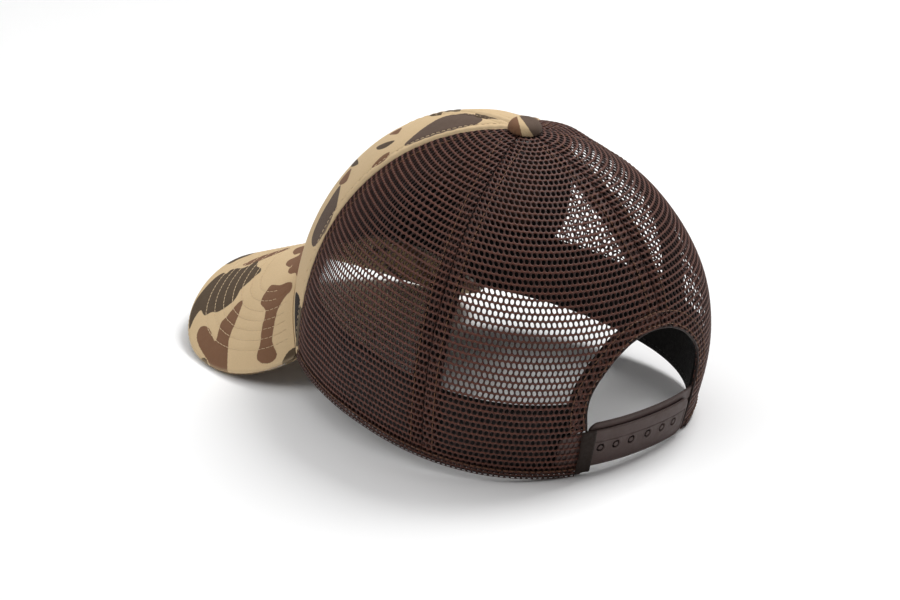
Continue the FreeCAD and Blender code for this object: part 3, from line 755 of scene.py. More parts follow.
def net_panel(name, fa, fb, mirror, seed, arch=False, allowance=7.5, replaces=()):
    fm = lambda t: (fa(t) + fb(t)) / 2
    tt, ss = meridian(fm)
    wide = float((fb(0.0) - fa(0.0)) * per_deg(np.array(fm(0.0)), np.array(0.0)))
    nu, nv = int(wide / PX / 2) + 8, int(ss[-1] / PY) + 1
    j = np.arange(-2, nv)
    i = np.arange(-nu, nu + 1)
    J, I = np.meshgrid(j, i, indexing="ij")
    cells = np.stack([PX * (I + 0.5 * (J % 2)), PY * (J + 0.5)], -1).reshape(-1, 2)

    def to_ft(uv):
        t = np.interp(np.maximum(uv[..., 1], 0), ss, tt) + np.minimum(uv[..., 1], 0) * (tt[1] / ss[1])
        return fm(t) + uv[..., 0] / per_deg(fm(t), np.maximum(t, 0)), t

    def dists(f, t):
        pm = per_deg(f, np.maximum(t, 0))
        return (f - fa(t)) * pm, (fb(t) - f) * pm

    f, t = to_ft(cells)
    da, db = dists(f, t)
    half_w = (fb(t) - fa(t)) * per_deg(fm(t), np.maximum(t, 0)) / 2
    lim = np.minimum(allowance, 0.55 * half_w)
    keep = (da > -lim) & (db > -lim) & (t < T_TOP) & (cells[:, 1] > -4.8)
    if arch:
        dd = arch_dist(crown(f, np.clip(t, 0, 1)))
        keep &= dd > -6.8
    cells = cells[keep]
    pts, faces, bridge_highlight = lattice(cells)
    f, t = to_ft(pts[:, :2])
    layer = np.zeros(len(f))

    def tuck(d):
        """Where cloth past a fold line lies: how far back it comes, and how deep."""
        return np.where(d < 0, -d, 0.0), np.clip((0.45 - d) / 0.9, 0, 1) ** 2 * (3 - 2 * np.clip((0.45 - d) / 0.9, 0, 1))

    pm = per_deg(f, np.maximum(t, 0))
    da, db = dists(f, t)
    back_a, la = tuck(da)
    back_b, lb = tuck(db)
    f = np.where(da < 0, fa(t) + back_a / pm, f)
    f = np.where(db < 0, fb(t) - back_b / pm, f)
    layer = np.maximum(la, lb)
    per_t = ss[1] / tt[1]
    dbot = t * per_t
    _, lc = tuck(dbot)
    t = np.where(t < 0, -t, t)
    layer = np.maximum(layer, lc)
    if arch:
        for _ in range(2):
            d = arch_dist(crown(f, t))
            h = 0.4
            gf = (arch_dist(crown(f + h, t)) - arch_dist(crown(f - h, t))) / (2 * h)
            gt = (arch_dist(crown(f, t + 0.004)) - arch_dist(crown(f, np.maximum(t - 0.004, 0)))) / 0.008
            pmf = per_deg(f, t)
            g2 = np.maximum((gf / pmf) ** 2 + (gt / per_t) ** 2, 0.3)
            if _ == 0:
                neg = d < 0
                layer = np.maximum(layer, np.where(d < 3, tuck(d)[1], 0))
                want = np.abs(d)
                step = np.where(neg, want - d, 0.0)
            else:
                step = np.where(neg, want - d, 0.0)
            f = f + step * gf / pmf ** 2 / g2
            t = np.maximum(t + step * gt / per_t ** 2 / g2, 0.0)
    hump = 1.7 * np.exp(-((f - 93.0) / 13.0) ** 2 - ((t - 0.775) / 0.05) ** 2) if mirror else 0.0
    sag = hump + 0.45 * noise2(pts[:, 0], pts[:, 1], seed, 55.0) * np.clip(np.minimum(da, db) / 14, 0, 1) * np.clip(dbot / 14, 0, 1)
    ridge = -0.35 * np.exp(-(np.minimum(np.abs(da), np.abs(db)) / 1.2) ** 2)
    off = -0.36 + sag + ridge * (layer < 0.5) + pts[:, 2] * np.where(layer > 0.5, 0.8, 1.0) - layer * 0.72
    p = skin(f, np.clip(t, 0, T_TOP), off)
    if mirror:
        p = p * [-1, 1, 1]
    # the painted highlight on the bridging strands, handed to the net material
    tint = bridge_highlight + 0.0 * layer
    ob = build(name, p, faces, M_net, attrs={"bridge_highlight": tint, "cloth": np.column_stack([pts[:, :2], 0 * f])}, replaces=replaces)
    a = np.array([p[faces[:, k]] for k in range(4)])
    surf = 0.5 * (np.linalg.norm(np.cross(a[1] - a[0], a[2] - a[0]), axis=1) + np.linalg.norm(np.cross(a[2] - a[0], a[3] - a[0]), axis=1)).sum() * 1e-6
    return ob, len(cells) * PX * PY * 1e-6, surf, (wide + 15) * 1e-3, (ss[-1] + 5) * 1e-3


net_facts = []
for mir, tag in ((False, "left"), (True, "right")):
    net_facts.append(net_panel("side_mesh_%s_net" % tag, seam_front_right if mir else seam_front, seam_rear, mir, 21 + mir, replaces=("side_mesh_" + tag,)))
net_facts.append(net_panel("rear_mesh_left_net", seam_rear, seam_back, False, 31, True, replaces=("rear_mesh_left",)))
net_facts.append(net_panel("rear_mesh_right_net", seam_back, lambda t: 360 - seam_rear(t), False, 32, True, replaces=("rear_mesh_right",)))
for ob, cut, surf, w, l in net_facts:
    # material without the holes, which take a little under half of the cut
    print("net", ob.name, len(ob.data.polygons), "cut %.4f surf %.4f flat %.3f %.3f" % (cut, surf, w, l))


# ------------------------------------------------------------ tapes and hems
def ribbon(name, centre, ta, tb, offs, halfw, mat, replaces, side=1, nu=11, nv=130, share=24.0):
    t = np.linspace(ta, tb, nv)[None] + np.zeros((nu, 1))
    u = np.linspace(-1, 1, nu)[:, None] + 0 * t
    fc = centre(t)
    pm = per_deg(fc, t)
    w = np.minimum(halfw, share * pm)
    f = fc + u * w / pm
    bow = 0.10 * np.cos(u * np.pi / 2)
    groove = -0.10 * np.exp(-((np.abs(u) * w - (w - 1.2)) / 0.4) ** 2)
    o = skin(f, t, offs[0])
    i = skin(f, t, offs[1] - bow - groove)
    if side < 0:
        o, i = o * [-1, 1, 1], i * [-1, 1, 1]
    s = t * 160
    co, fc2 = slab(o, i)
    ob = build(name, co, fc2, mat, attrs={"cloth": two(np.dstack([u * w, s, 0 * t]))}, replaces=replaces)
    return ob


TO = (-1.48, -1.78)
ribbon("tape_centre_front_cloth", lambda t: 0 * t, 0.02, 0.90, (-1.42, -1.72), 7.5, M_tape, ("tape_centre_front",))
ribbon("tape_front_left_cloth", seam_front, 0.015, 0.90, TO, 7.5, M_tape, ("tape_front_left",))
ribbon("tape_front_right_cloth", seam_front_right, 0.015, 0.90, TO, 7.5, M_tape, ("tape_front_right",), side=-1, share=12.0)
ribbon("tape_rear_left_cloth", seam_rear, 0.015, 0.90, TO, 7.5, M_tape, ("tape_rear_left",))
ribbon("tape_rear_right_cloth", seam_rear, 0.015, 0.90, TO, 7.5, M_tape, ("tape_rear_right",), side=-1)
ribbon("tape_centre_back_cloth", seam_back, 0.385, 0.90, TO, 7.5, M_tape, ("tape_centre_back",))

# threads that hold the tapes, on the outside of the net seams
rows = []
for fn, ta, sds in ((seam_front, 0.03, (1, -1)), (seam_rear, 0.03, (1, -1)), (seam_back, 0.36, (1,))):
    for sd in sds:
        for dist in ((5.6,) if fn is seam_front else (-5.6, 5.6)):
            fn2 = seam_front_right if fn is seam_front and sd < 0 else fn
            rows.append(stitches(*seam_line(fn2, dist, ta, 0.90, 0.02, side=sd), r=0.2, seed=31, pitch=2.9))
co, fc = joined(rows)
build("net_seam_stitching", co, fc, M_thread_gold, fix=False)


def arch_band(inner, outer_w, n=150, m=7, z0=23.2):
    """A band round the rear opening: distances from the outline, as (f, t) grids solved on the crown."""
    line = arch_line
    keep = line[:, 1] > z0
    line = line[keep]
    d = np.concatenate([[0], np.cumsum(np.linalg.norm(np.diff(line, axis=0), axis=1))])
    at = np.linspace(0, d[-1], n)
    c = np.stack([np.interp(at, d, line[:, k]) for k in range(2)], -1)
    for _ in range(6):
        c[1:-1] = (c[:-2] + 2 * c[1:-1] + c[2:]) / 4
    tan = np.gradient(c, axis=0)
    nr = unit(np.stack([tan[:, 1], -tan[:, 0]], -1))
    dist = np.linspace(inner, outer_w, m)
    tgt = c[:, None] + nr[:, None] * dist[None, :, None]
    f = 180 - tgt[..., 0] / 1.25
    t = np.clip(tgt[..., 1] / 200, 0.02, 0.6)
    for _ in range(25):
        p = crown(f, t)
        e = p[..., [0, 2]] - tgt
        pf = (crown(f + 0.2, t) - crown(f - 0.2, t))[..., [0, 2]] / 0.4
        pt = (crown(f, t + 0.002) - crown(f, t - 0.002))[..., [0, 2]] / 0.004
        det = pf[..., 0] * pt[..., 1] - pf[..., 1] * pt[..., 0]
        df = (e[..., 0] * pt[..., 1] - e[..., 1] * pt[..., 0]) / det
        dt = (pf[..., 0] * e[..., 1] - pf[..., 1] * e[..., 0]) / det
        f, t = f - np.clip(df, -4, 4), np.clip(t - np.clip(dt, -0.05, 0.05), 0.0, 0.8)
    return f, t, dist, at


bf, bt, bd, bat = arch_band(0.35, 8.6)
o = skin(bf, bt, -1.50)
i = skin(bf, bt, -1.85 - 0.08 * np.cos((bd - 4.5) / 4.2 * np.pi / 2)[None])
co, fc = slab(o, i)
ob = build("arch_binding_cloth", co, fc, M_tape, attrs={"cloth": two(np.dstack([bd[None] + 0 * bf, bat[:, None] + 0 * bf, 0 * bf]))}, replaces=("arch_binding",))
rows = []
for k in (1, 5):
    rows.append(stitches(skin(bf[:, k], bt[:, k], 0.02), normal(bf[:, k], bt[:, k]), r=0.2, pitch=2.9, seed=5 + k))
co, fc = joined(rows)
build("arch_stitching", co, fc, M_thread_gold, fix=False)

def tube(line, r, k=8):
    """A closed round cord along a line of points."""
    tan = unit(np.gradient(line, axis=0))
    up = np.array([0.0, 0.0, 1.0])
    sid = unit(np.cross(tan, up) + 1e-9)
    nn = np.cross(sid, tan)
    n = len(line)
    taper = np.ones(n)
    taper[0] = taper[-1] = 0.5
    a = np.arange(k) / k * 2 * np.pi
    ring = line[:, None] + (sid[:, None] * np.cos(a)[None, :, None] + nn[:, None] * np.sin(a)[None, :, None]) * (r * taper)[:, None, None]
    idx = np.arange(n * k).reshape(n, k)
    q = np.stack([idx[:-1], np.roll(idx[:-1], -1, 1), np.roll(idx[1:], -1, 1), idx[1:]], -1).reshape(-1, 4).tolist()
    return ring.reshape(-1, 3), q + [list(idx[0][::-1]), list(idx[-1])]


# the folded edge of the net round the rear opening
ef, et, _, _ = arch_band(0.30, 0.60, 300, 2, 2.0)
low = skin(ef[:, 0], et[:, 0], -0.62)
co, fc = tube(resample(low, 0.9)[0], 0.50)
build("arch_edge_fold", co, fc, M_fold)

# bottom hem: a second layer of the net round the edge, with its topstitch
for sd, tag in ((1, "left"), (-1, "right")):
    t0, s0 = meridian(lambda t: 90.0 + 0 * t)
    fs = np.linspace(CF + 0.2, 158.2, 500)
    base = crown(fs, 0 * fs)
    arc = np.concatenate([[0], np.cumsum(np.linalg.norm(np.diff(base, axis=0), axis=1))])
    n = int(arc[-1] / PX)
    cells = np.stack([(np.arange(n)[None] + 0.5 + 0.5 * np.array([0, 1])[:, None]) * arc[-1] / (n + 0.5), np.array([1.05, 3.05])[:, None] + 0 * np.arange(n)[None]], -1)
    PXh = arc[-1] / (n + 0.5)
    sc = np.array([PXh / PX, 2.0 / 3.0])
    c2 = cells.reshape(-1, 2) / sc
    c2[:, 0] = np.round(c2[:, 0] / (PX / 2)) * (PX / 2)
    c2[:, 1] = np.where(cells.reshape(-1, 2)[:, 1] < 2, 1.5, 4.5)
    pts, faces, bridge_highlight = lattice(c2)
    uv = pts[:, :2] * sc
    f = np.interp(uv[:, 0], arc, fs)
    t = np.interp(np.maximum(uv[:, 1] - 0.2, 0), s0, t0)
    p = skin(f, t, 0.24 + pts[:, 2] * 0.75)
    if sd < 0:
        p = p * [-1, 1, 1]
    # the folded-under hem net gets a weaker painted highlight on its strands
    ob = build("hem_%s_net" % tag, p, faces, M_net, attrs={"bridge_highlight": bridge_highlight * 0.7, "cloth": np.column_stack([uv, 0 * f])}, replaces=("hem_" + tag,))
    print("hem", len(faces), p.min(0), p.max(0))
rolls = []
for sd in (1, -1):
    fs = np.linspace(CF + 0.3, 158.6, 240)
    p = resample(skin(fs, 0.0042 + 0 * fs, -0.20), 0.9)[0]
    rolls.append(tube(p * ([1, 1, 1] if sd > 0 else [-1, 1, 1]), 0.46))
    # the strip of net that is turned in behind the hem
    fs = np.linspace(CF + 0.6, 157.4, 260)
    c0, m0 = skin(fs, 0.0122 + 0 * fs, -1.64), normal(fs, 0.0122 + 0 * fs)
    u0 = unit(crown(fs, 0.016 + 0 * fs) - crown(fs, 0.008 + 0 * fs))
    a = np.arange(10) / 10 * 2 * np.pi
    rg = c0[:, None] + u0[:, None] * (1.75 * np.cos(a))[None, :, None] + m0[:, None] * (0.20 * np.sin(a))[None, :, None]
    rg = rg * ([1, 1, 1] if sd > 0 else [-1, 1, 1])
    idx = np.arange(2600).reshape(260, 10)
    qd = np.stack([idx[:-1], np.roll(idx[:-1], -1, 1), np.roll(idx[1:], -1, 1), idx[1:]], -1).reshape(-1, 4).tolist()
    rolls.append((rg.reshape(-1, 3), qd + [list(idx[0][::-1]), list(idx[-1])]))
co, fc = joined(rolls)
build("hem_edge_fold", co, fc, M_fold)
rows = []
for sd in (1, -1):
    fs = np.linspace(CF + 0.6, 157.0, 260)
    p, m = skin(fs, 0.021 + 0 * fs, 0.42), normal(fs, 0.021 + 0 * fs)
    if sd < 0:
        p, m = p * [-1, 1, 1], m * [-1, 1, 1]
    rows.append(stitches(p, m, r=0.2, pitch=2.9, seed=41))
co, fc = joined(rows)
build("hem_stitching", co, fc, M_thread_gold, fix=False)


# ----------------------------------------------------------------- sweatband
def band_top(f):
    a = fold(f)
    return 0.187 + np.where(a < CF, 0.045 * (1 - (a / CF) ** 2), 0.0)


def ring(name, offs, f_end, ta, drop, puff, mat, replaces, slot, nu=330, nv=22):
    f = np.linspace(-f_end, f_end, nu)[:, None] + np.zeros((1, nv))
    w = np.linspace(0, 1, nv)[None] + 0 * f
    t = ta + (band_top(f) - drop - ta) * w
    bulge = np.sin(np.pi * np.clip(w, 0, 1)) ** 0.5 * puff
    groove = 0.16 * (np.exp(-((w - 0.07) / 0.03) ** 2) + np.exp(-((w - 0.93) / 0.03) ** 2))
    s = f * 1.55
    o = skin(f, t, offs[0] + bulge * 0.2)
    i = skin(f, t, offs[1] - bulge + groove + 0.10 * noise2(s, w * 35, 6, 24.0) * np.sin(np.pi * w))
    co, fc = slab(o, i)
    ob = build(name, co, fc, mat, attrs={"cloth": two(np.dstack([s, w * 35, 0 * w]))}, replaces=replaces)
    return ob, f, t


sb, bf2, bt2 = ring("sweatband_cloth", (-3.0, -3.75), 155.5, 0.006, 0.0, 0.35, M_band, ("sweatband",), "band")
sl, _, _ = ring("sweatband_lining_felt", (-2.12, -2.82), 148.0, 0.012, 0.012, 0.0, M_lining, ("sweatband_lining",), "band")
rows = []
for w in (0.07, 0.93):
    fs = np.linspace(-155, 155, 500)
    t = 0.006 + (band_top(fs) - 0.006) * w
    p = skin(fs, t, -3.82)
    rows.append(stitches(p, -normal(fs, t), r=0.2, pitch=3.0, seed=51))
co, fc = joined(rows)
build("sweatband_stitching", co, fc, M_thread_black, fix=False)

# --------------------------------------------------------------------- visor
EDGE = np.array([(64.337, 0.0), (67.79, 3.635), (70.855, 7.601), (73.497, 11.862), (75.694, 16.368), (77.441, 21.067), (78.749, 25.907), (79.636, 30.842), (80.117, 35.833), (80.202, 40.846), (79.898, 45.851), (79.206, 50.817), (78.122, 55.712), (76.639, 60.502), (74.747, 65.145), (72.435, 69.593), (69.706, 73.799), (66.603, 77.737), (63.177, 81.398), (59.48, 84.785), (55.557, 87.908), (51.449, 90.784), (47.19, 93.43), (42.806, 95.865), (38.32, 98.107), (33.75, 100.174), (29.112, 102.08), (24.416, 103.841), (19.662, 105.437), (14.841, 106.819), (9.952, 107.931), (4.999, 108.712), (0.0, 109.1)])
CU, VR, VD = 64.33698, 114.7, 15.55


def along_edge(x):
    n = len(EDGE) - 1
    p = np.clip(x, 0, 1) * n
    i = np.minimum(p.astype(int), n - 1)
    w = (p - i)[..., None]
    G = np.concatenate([2 * EDGE[:1] - EDGE[1:2], EDGE, np.array([[-EDGE[-2, 0], EDGE[-2, 1]]])])
    a, b, c, d = G[i], G[i + 1], G[i + 2], G[i + 3]
    return b + 0.5 * w * (c - a + w * (2 * a - 5 * b + 4 * c - d + w * (3 * (b - c) + d - a)))


def bend(u, v):
    bx, by, bz = edge_cap(np.array(CF))
    bz = bz + settle(np.array(CF), by)
    zz = VR * (np.cos(u / VR) - np.cos(CU / VR))
    a = VD * D2R
    return place(VR * np.sin(u / VR), by - v * np.cos(a) - zz * np.sin(a), bz - v * np.sin(a) + zz * np.cos(a))


def visor(s, k):
    s, k = np.broadcast_arrays(np.asarray(s, float), np.asarray(k, float))
    q = 1 - np.abs(s)
    e = along_edge(q)
    e = bend(e[..., 0], e[..., 1])
    i = skin(CF * np.abs(s), 0 * s, 0.35)
    p = i * (1 - k)[..., None] + e * k[..., None]
    p[..., 0] *= np.where(s >= 0, 1.0, -1.0)
    return p


def visor_normal(s, k):
    h = 0.006
    a = visor(np.minimum(s + h, 1), k) - visor(np.maximum(s - h, -1), k)
    b = visor(s, np.minimum(k + 0.05, 1)) - visor(s, np.maximum(k - 0.05, 0))
    n = unit(np.cross(a, b))
    return n * np.where(n[..., 2:] < 0, -1.0, 1.0)


VISOR_SHAPES = [
    ("ink_dark", [(60.1, -105.6), (52.7, -113.7), (43.7, -119.6), (35.5, -122.4), (27.8, -124), (23.8, -122.5), (25.4, -118.3), (21.9, -118.7), (21.2, -115.6), (22.1, -109.3), (19.9, -106.5), (16.6, -104.3), (22.5, -98.3), (25.2, -92.2), (28.6, -89), (31.1, -89.9), (34.4, -89.8), (38, -90.9), (39.8, -90.9), (44.2, -89), (47.4, -89.7), (49.9, -92), (51.4, -94.7), (51.4, -98.4), (52.4, -100.4), (52.9, -102.8), (50.2, -108.2), (52.2, -108.7), (55.8, -107.6)]),
    ("ink_dark", [(11, -138), (2, -139), (-8, -138), (-7, -133), (1.8, -127.8), (7.9, -129.7), (12.8, -130.1)]),
    ("ink_brown", [(18, -114.1), (14.7, -112.7), (9.9, -109.1), (5.1, -102.7), (2, -98), (5, -95), (9.6, -96.8), (13.8, -100.1), (17.7, -104.7), (19.8, -109.7)]),
    ("ink_brown", [(6, -86), (12, -83.5), (17, -77), (16.5, -73.5), (19.2, -71.9), (22.1, -75.4), (25.8, -73.1), (28.4, -66.9), (26.5, -67.8), (30.6, -66.2), (32.6, -62.3), (32.4, -58.8), (36.1, -53.4), (37, -50.6), (33, -52.5), (20.4, -60), (5, -75)]),
    ("ink_brown", [(38.1, -69.5), (38.4, -63.2), (37, -59.1), (37.6, -55.5), (40.8, -52.7), (43.4, -53.5), (46.4, -53.6), (50, -52.5), (54.8, -49.3), (59.8, -45.2), (61.8, -41.6), (63.8, -37.4), (66.1, -37.6), (67.7, -40.8), (67.7, -46.4), (65.6, -49.4), (62.1, -51.1), (56.6, -55.9), (51.6, -59.2), (49.3, -62), (47.3, -67.1), (44.6, -69.3), (40.7, -70.1)]),
    ("ink_brown", [(45.5, -82.2), (47.4, -84.5), (52.7, -85), (56.4, -86), (62.3, -82.2), (64, -81.8), (62.9, -84.4), (59.7, -90.3), (58.1, -95.4), (59, -98.7), (63.1, -96.3), (67.4, -88.9), (71.7, -78), (74.5, -72.9), (76.8, -66.8), (76.7, -59.4), (66.5, -69.4), (62, -73.5), (56, -76), (50.7, -78.6)]),
    ("ink_dark", [(74.1, -87.2), (70.9, -83.6), (71.6, -78.9), (75.1, -76)]),
    ("ink_dark", [(68.7, -23.4), (64.8, -21.3), (60.3, -25.8), (59.0, -29.5), (62.3, -32.5), (68.3, -30.9)]),
]
vs = np.linspace(-0.985, 0.985, 300)[:, None]
vk_top = np.linspace(0.0, 1.0, 112)[None]
S, K = np.broadcast_arrays(vs, vk_top)
S, K = S.copy(), K.copy()
V0 = visor(S, K)
VN = visor_normal(S, K)
edge_pts = visor(np.linspace(-1, 1, 700), np.ones(700))


def edge_dist(P):
    """Distance to the visor's outer edge."""
    Q = P.reshape(-1, 3)
    best = np.full(len(Q), 1e9)
    for c in range(0, len(edge_pts), 20):
        seg = edge_pts[c:c + 20]
        best = np.minimum(best, ((Q[:, None] - seg[None]) ** 2).sum(-1).min(1))
    return np.sqrt(best).reshape(P.shape[:-1])


VE = edge_dist(V0)
ROWS = [11.5, 16.9, 22.2, 27.5, 32.9, 38.6, 44.0]
inner_d = np.linalg.norm(V0 - V0[:, :1], axis=-1)


def visor_relief(E, inner):
    g = np.zeros_like(E)
    for r in ROWS:
        g -= 0.13 * np.exp(-((E - r) / 0.75) ** 2)
    return g * np.clip((inner - 4) / 4, 0, 1) + 0.05 * noise2(V0[..., 0], V0[..., 1], 77, 34.0)


REL = visor_relief(VE, inner_d)
round_top = -1.4 * np.exp(-(VE / 0.8) ** 2) * 0.9
round_top = np.where(K > 0.9, -1.35 * (1 - np.sqrt(np.clip(1 - np.clip(1 - VE / 1.6, 0, 1) ** 2, 0, 1))), 0.0)
outer = V0 + VN * (REL + round_top)[..., None]
inner = V0 + VN * (-0.62 + 0.6 * round_top)[..., None]
shapes = [(k, smooth_closed(p, 5)) for k, p in VISOR_SHAPES]
avoid = [(*q.mean(0), 0.5 * np.ptp(q, axis=0).max()) for _, q in shapes]
more = scatter((-88, -140), (2, -30), 31.0, 17, avoid)
at = inks(V0[..., :2].reshape(-1, 2), shapes + more)
at = {k: np.concatenate([v, v]) for k, v in at.items()}
at["cloth"] = two(np.dstack([V0[..., 0], V0[..., 1], 0 * S]))
at["wear"] = two(0.35 * np.exp(-(VE / 1.0) ** 2))
co, fc = slab(outer, inner)
vt = build("visor_top_cloth", co, fc, M_print, attrs=at, replaces=("visor_top_cover",))

z4 = -0.6 - 0.05 - 1.6 - 0.05
under_round = np.where(K > 0.9, 1.3 * (1 - np.sqrt(np.clip(1 - np.clip(1 - VE / 1.6, 0, 1) ** 2, 0, 1))), 0.0)
low = V0 + VN * (z4 - 0.58 - REL * 0.8 + under_round)[..., None]
upp = V0 + VN * (z4 + 0.02 + 0.4 * under_round)[..., None]
under_shapes = scatter((-86, -140), (86, -28), 31.0, 23, [])
at = inks(V0[..., :2].reshape(-1, 2), under_shapes)
at = {k: np.concatenate([v, v]) for k, v in at.items()}
at["cloth"] = two(np.dstack([V0[..., 0], V0[..., 1], 0 * S]))
at["wear"] = two(0.35 * np.exp(-(VE / 1.0) ** 2))
co, fc = slab(upp, low)
vu = build("visor_under_cloth", co, fc, M_print, attrs=at, replaces=("visor_under_cover",))

# rows of stitching through the visor
rows_t, rows_u = [], []
for n, r in enumerate(ROWS):
    line, nn = [], []
    for j in range(0, 300):
        e = VE[j]
        col = np.nonzero((e[:-1] >= r) & (e[1:] < r))[0]
        if not len(col) or inner_d[j, col[-1]] < 3.0:
            line.append(None)
            continue
        c = col[-1]
        w = (e[c] - r) / (e[c] - e[c + 1])
        line.append((V0[j, c] * (1 - w) + V0[j, c + 1] * w, VN[j, c]))
    run = []
    for item in line + [None]:
        if item is None:
            if len(run) > 6:
                P = np.array([x[0] for x in run])
                N = np.array([x[1] for x in run])
                rows_t.append(stitches(P - N * 0.08, N, share=0.94, r=0.17, lift=0.04, dip=0.30, pitch=2.7, seed=60 + n))
                rows_u.append(stitches(P + N * (z4 - 0.58 + 0.08), -N, share=0.94, r=0.17, lift=0.04, dip=0.30, pitch=2.7, seed=80 + n))
            run = []
        else:
            run.append(item)
co, fc = joined(rows_t)
build("visor_top_stitching", co, fc, M_thread_tan, fix=False)
co, fc = joined(rows_u)
build("visor_under_stitching", co, fc, M_thread_tan, fix=False)

# -------------------------------------------------------------------- button
apex = place(np.array(0.0), np.array(APEX_Y), np.array(HEIGHT)).reshape(3)
lean = -(PITCH + TILT) * D2R


def turned(profile, n=64, wave=None):
    """Surface of revolution on the button's axis; wave(angle, i) scales a ring."""
    prof = np.asarray(profile, float)
    a = np.arange(n) / n * 2 * np.pi
    r = prof[:, 0][:, None] * np.ones((1, n))
    z = prof[:, 1][:, None] * np.ones((1, n))
    if wave is not None:
        dr, dz = wave(a[None], np.arange(len(prof))[:, None])
        r, z = r + dr, z + dz
    x, y = r * np.cos(a), r * np.sin(a)
    y, z = y * math.cos(lean) - z * math.sin(lean), y * math.sin(lean) + z * math.cos(lean)
    return np.stack([x, y, z], -1) + apex


BR, BH = 7.6, 4.6
q = np.linspace(0, math.pi / 2, 22)
prof = [(BR * math.cos(v) ** 0.62, 0.15 + BH * math.sin(v) ** 0.95) for v in q[:-1]] + [(0.02, 0.15 + BH)]
prof = [(BR - 0.9, -0.45), (BR - 0.1, -0.30)] + prof


def gather(a, i):
    k = np.clip(1 - i / 9.0, 0, 1) ** 1.5
    return 0.16 * k * np.sin(23 * a + 0.7 * np.sin(3 * a)) + 0.08 * k * np.sin(11 * a + 1), 0.03 * k * np.sin(17 * a)


g = turned(prof, 96, gather)
nr_, na_ = g.shape[:2]
idx = np.arange(nr_ * na_).reshape(nr_, na_)
faces = np.stack([idx[:-1], np.roll(idx[:-1], -1, 1), np.roll(idx[1:], -1, 1), idx[1:]], -1).reshape(-1, 4)
co = g.reshape(-1, 3)
gin = turned([(max(r - 0.55, 0.02), z - 0.30 if r > 1 else z - 0.5) for r, z in prof], 96).reshape(-1, 3)
faces2 = faces[:, ::-1] + len(co)
rim = np.stack([idx[0], np.roll(idx[0], -1), np.roll(idx[0], -1) + len(co), idx[0] + len(co)], -1)
cap0 = [list(idx[-1]), list((idx[-1] + len(co))[::-1])]
allco = np.concatenate([co, gin])
lx, ly = allco[:, 0] - apex[0], allco[:, 1] - apex[1]
P2 = np.stack([lx, ly], -1)
# printed stripes across the button: dark, a tan stripe, grey
far = 12.0 + 0 * lx
rel_ = allco - apex
across = rel_ @ np.array([-0.70684, 0.70737, 0.0])
tall = rel_ @ np.array([-0.2659, -0.2656, 0.9267])
at = {"ink_grey": (-1.8 + 0.66 * (4.8 - tall)) - across, "ink_brown": across - (-3.3 + 0.24 * (4.8 - tall)), "ink_dark": far, "ink_black": far}
at["cloth"] = np.column_stack([lx, ly, 0 * lx])
at["wear"] = 0 * lx
build("button_cloth", allco, faces.tolist() + faces2.tolist() + rim.tolist() + cap0, M_print, attrs=at, replaces=("button_cover",))

# --------------------------------------------------------------- snap strap
STRAP_W, STRAP_T, STRAP_Z, STRAP_SLOPE = 18.5, 1.2, 12.3, 0.03
HINGE_F, TIP_F, PEG_HINGE_F, PEG_TIP_F = 162.4, 197.6, 200.3, 160.6
HOLE_F = np.array([164.9 + 5.2 * i for i in range(6)])


def outer_off(f):
    return np.where(f > 159, -0.95 + 1.55 * (f - 159.0) / 42.0, -0.95)


def inner_off(f):
    return np.where(f < 201, outer_off(f) - STRAP_T - 0.35, -0.95)


def strap_point(f, h, off):
    f, h, off = np.broadcast_arrays(np.asarray(f, float), np.asarray(h, float), np.asarray(off, float))
    z = STRAP_Z + STRAP_SLOPE * crown(f, 0.06 + 0 * f)[..., 0] + h + Z_SHIFT
    lo, hi = np.full(f.shape, -0.02), np.full(f.shape, 0.25)
    for _ in range(26):
        mid = (lo + hi) / 2
        up = crown(f, mid)[..., 2] < z
        lo, hi = np.where(up, mid, lo), np.where(up, hi, mid)
    return crown(f, lo) + normal(f, np.maximum(lo, 0.01)) * off[..., None]


def f_at(f0, s):
    """Angle on the strap's middle at an arc length from f0."""
    ff = np.linspace(150.0, 212.0, 700)
    p = strap_point(ff, 0 * ff, outer_off(ff))
    d = np.concatenate([[0], np.cumsum(np.linalg.norm(np.diff(p, axis=0), axis=1))])
    return np.interp(np.interp(f0, ff, d) + s, d, ff)


def s_of(f):
    ff = np.linspace(150.0, 212.0, 700)
    p = strap_point(ff, 0 * ff, outer_off(ff))
    d = np.concatenate([[0], np.cumsum(np.linalg.norm(np.diff(p, axis=0), axis=1))])
    return np.interp(f, ff, d)


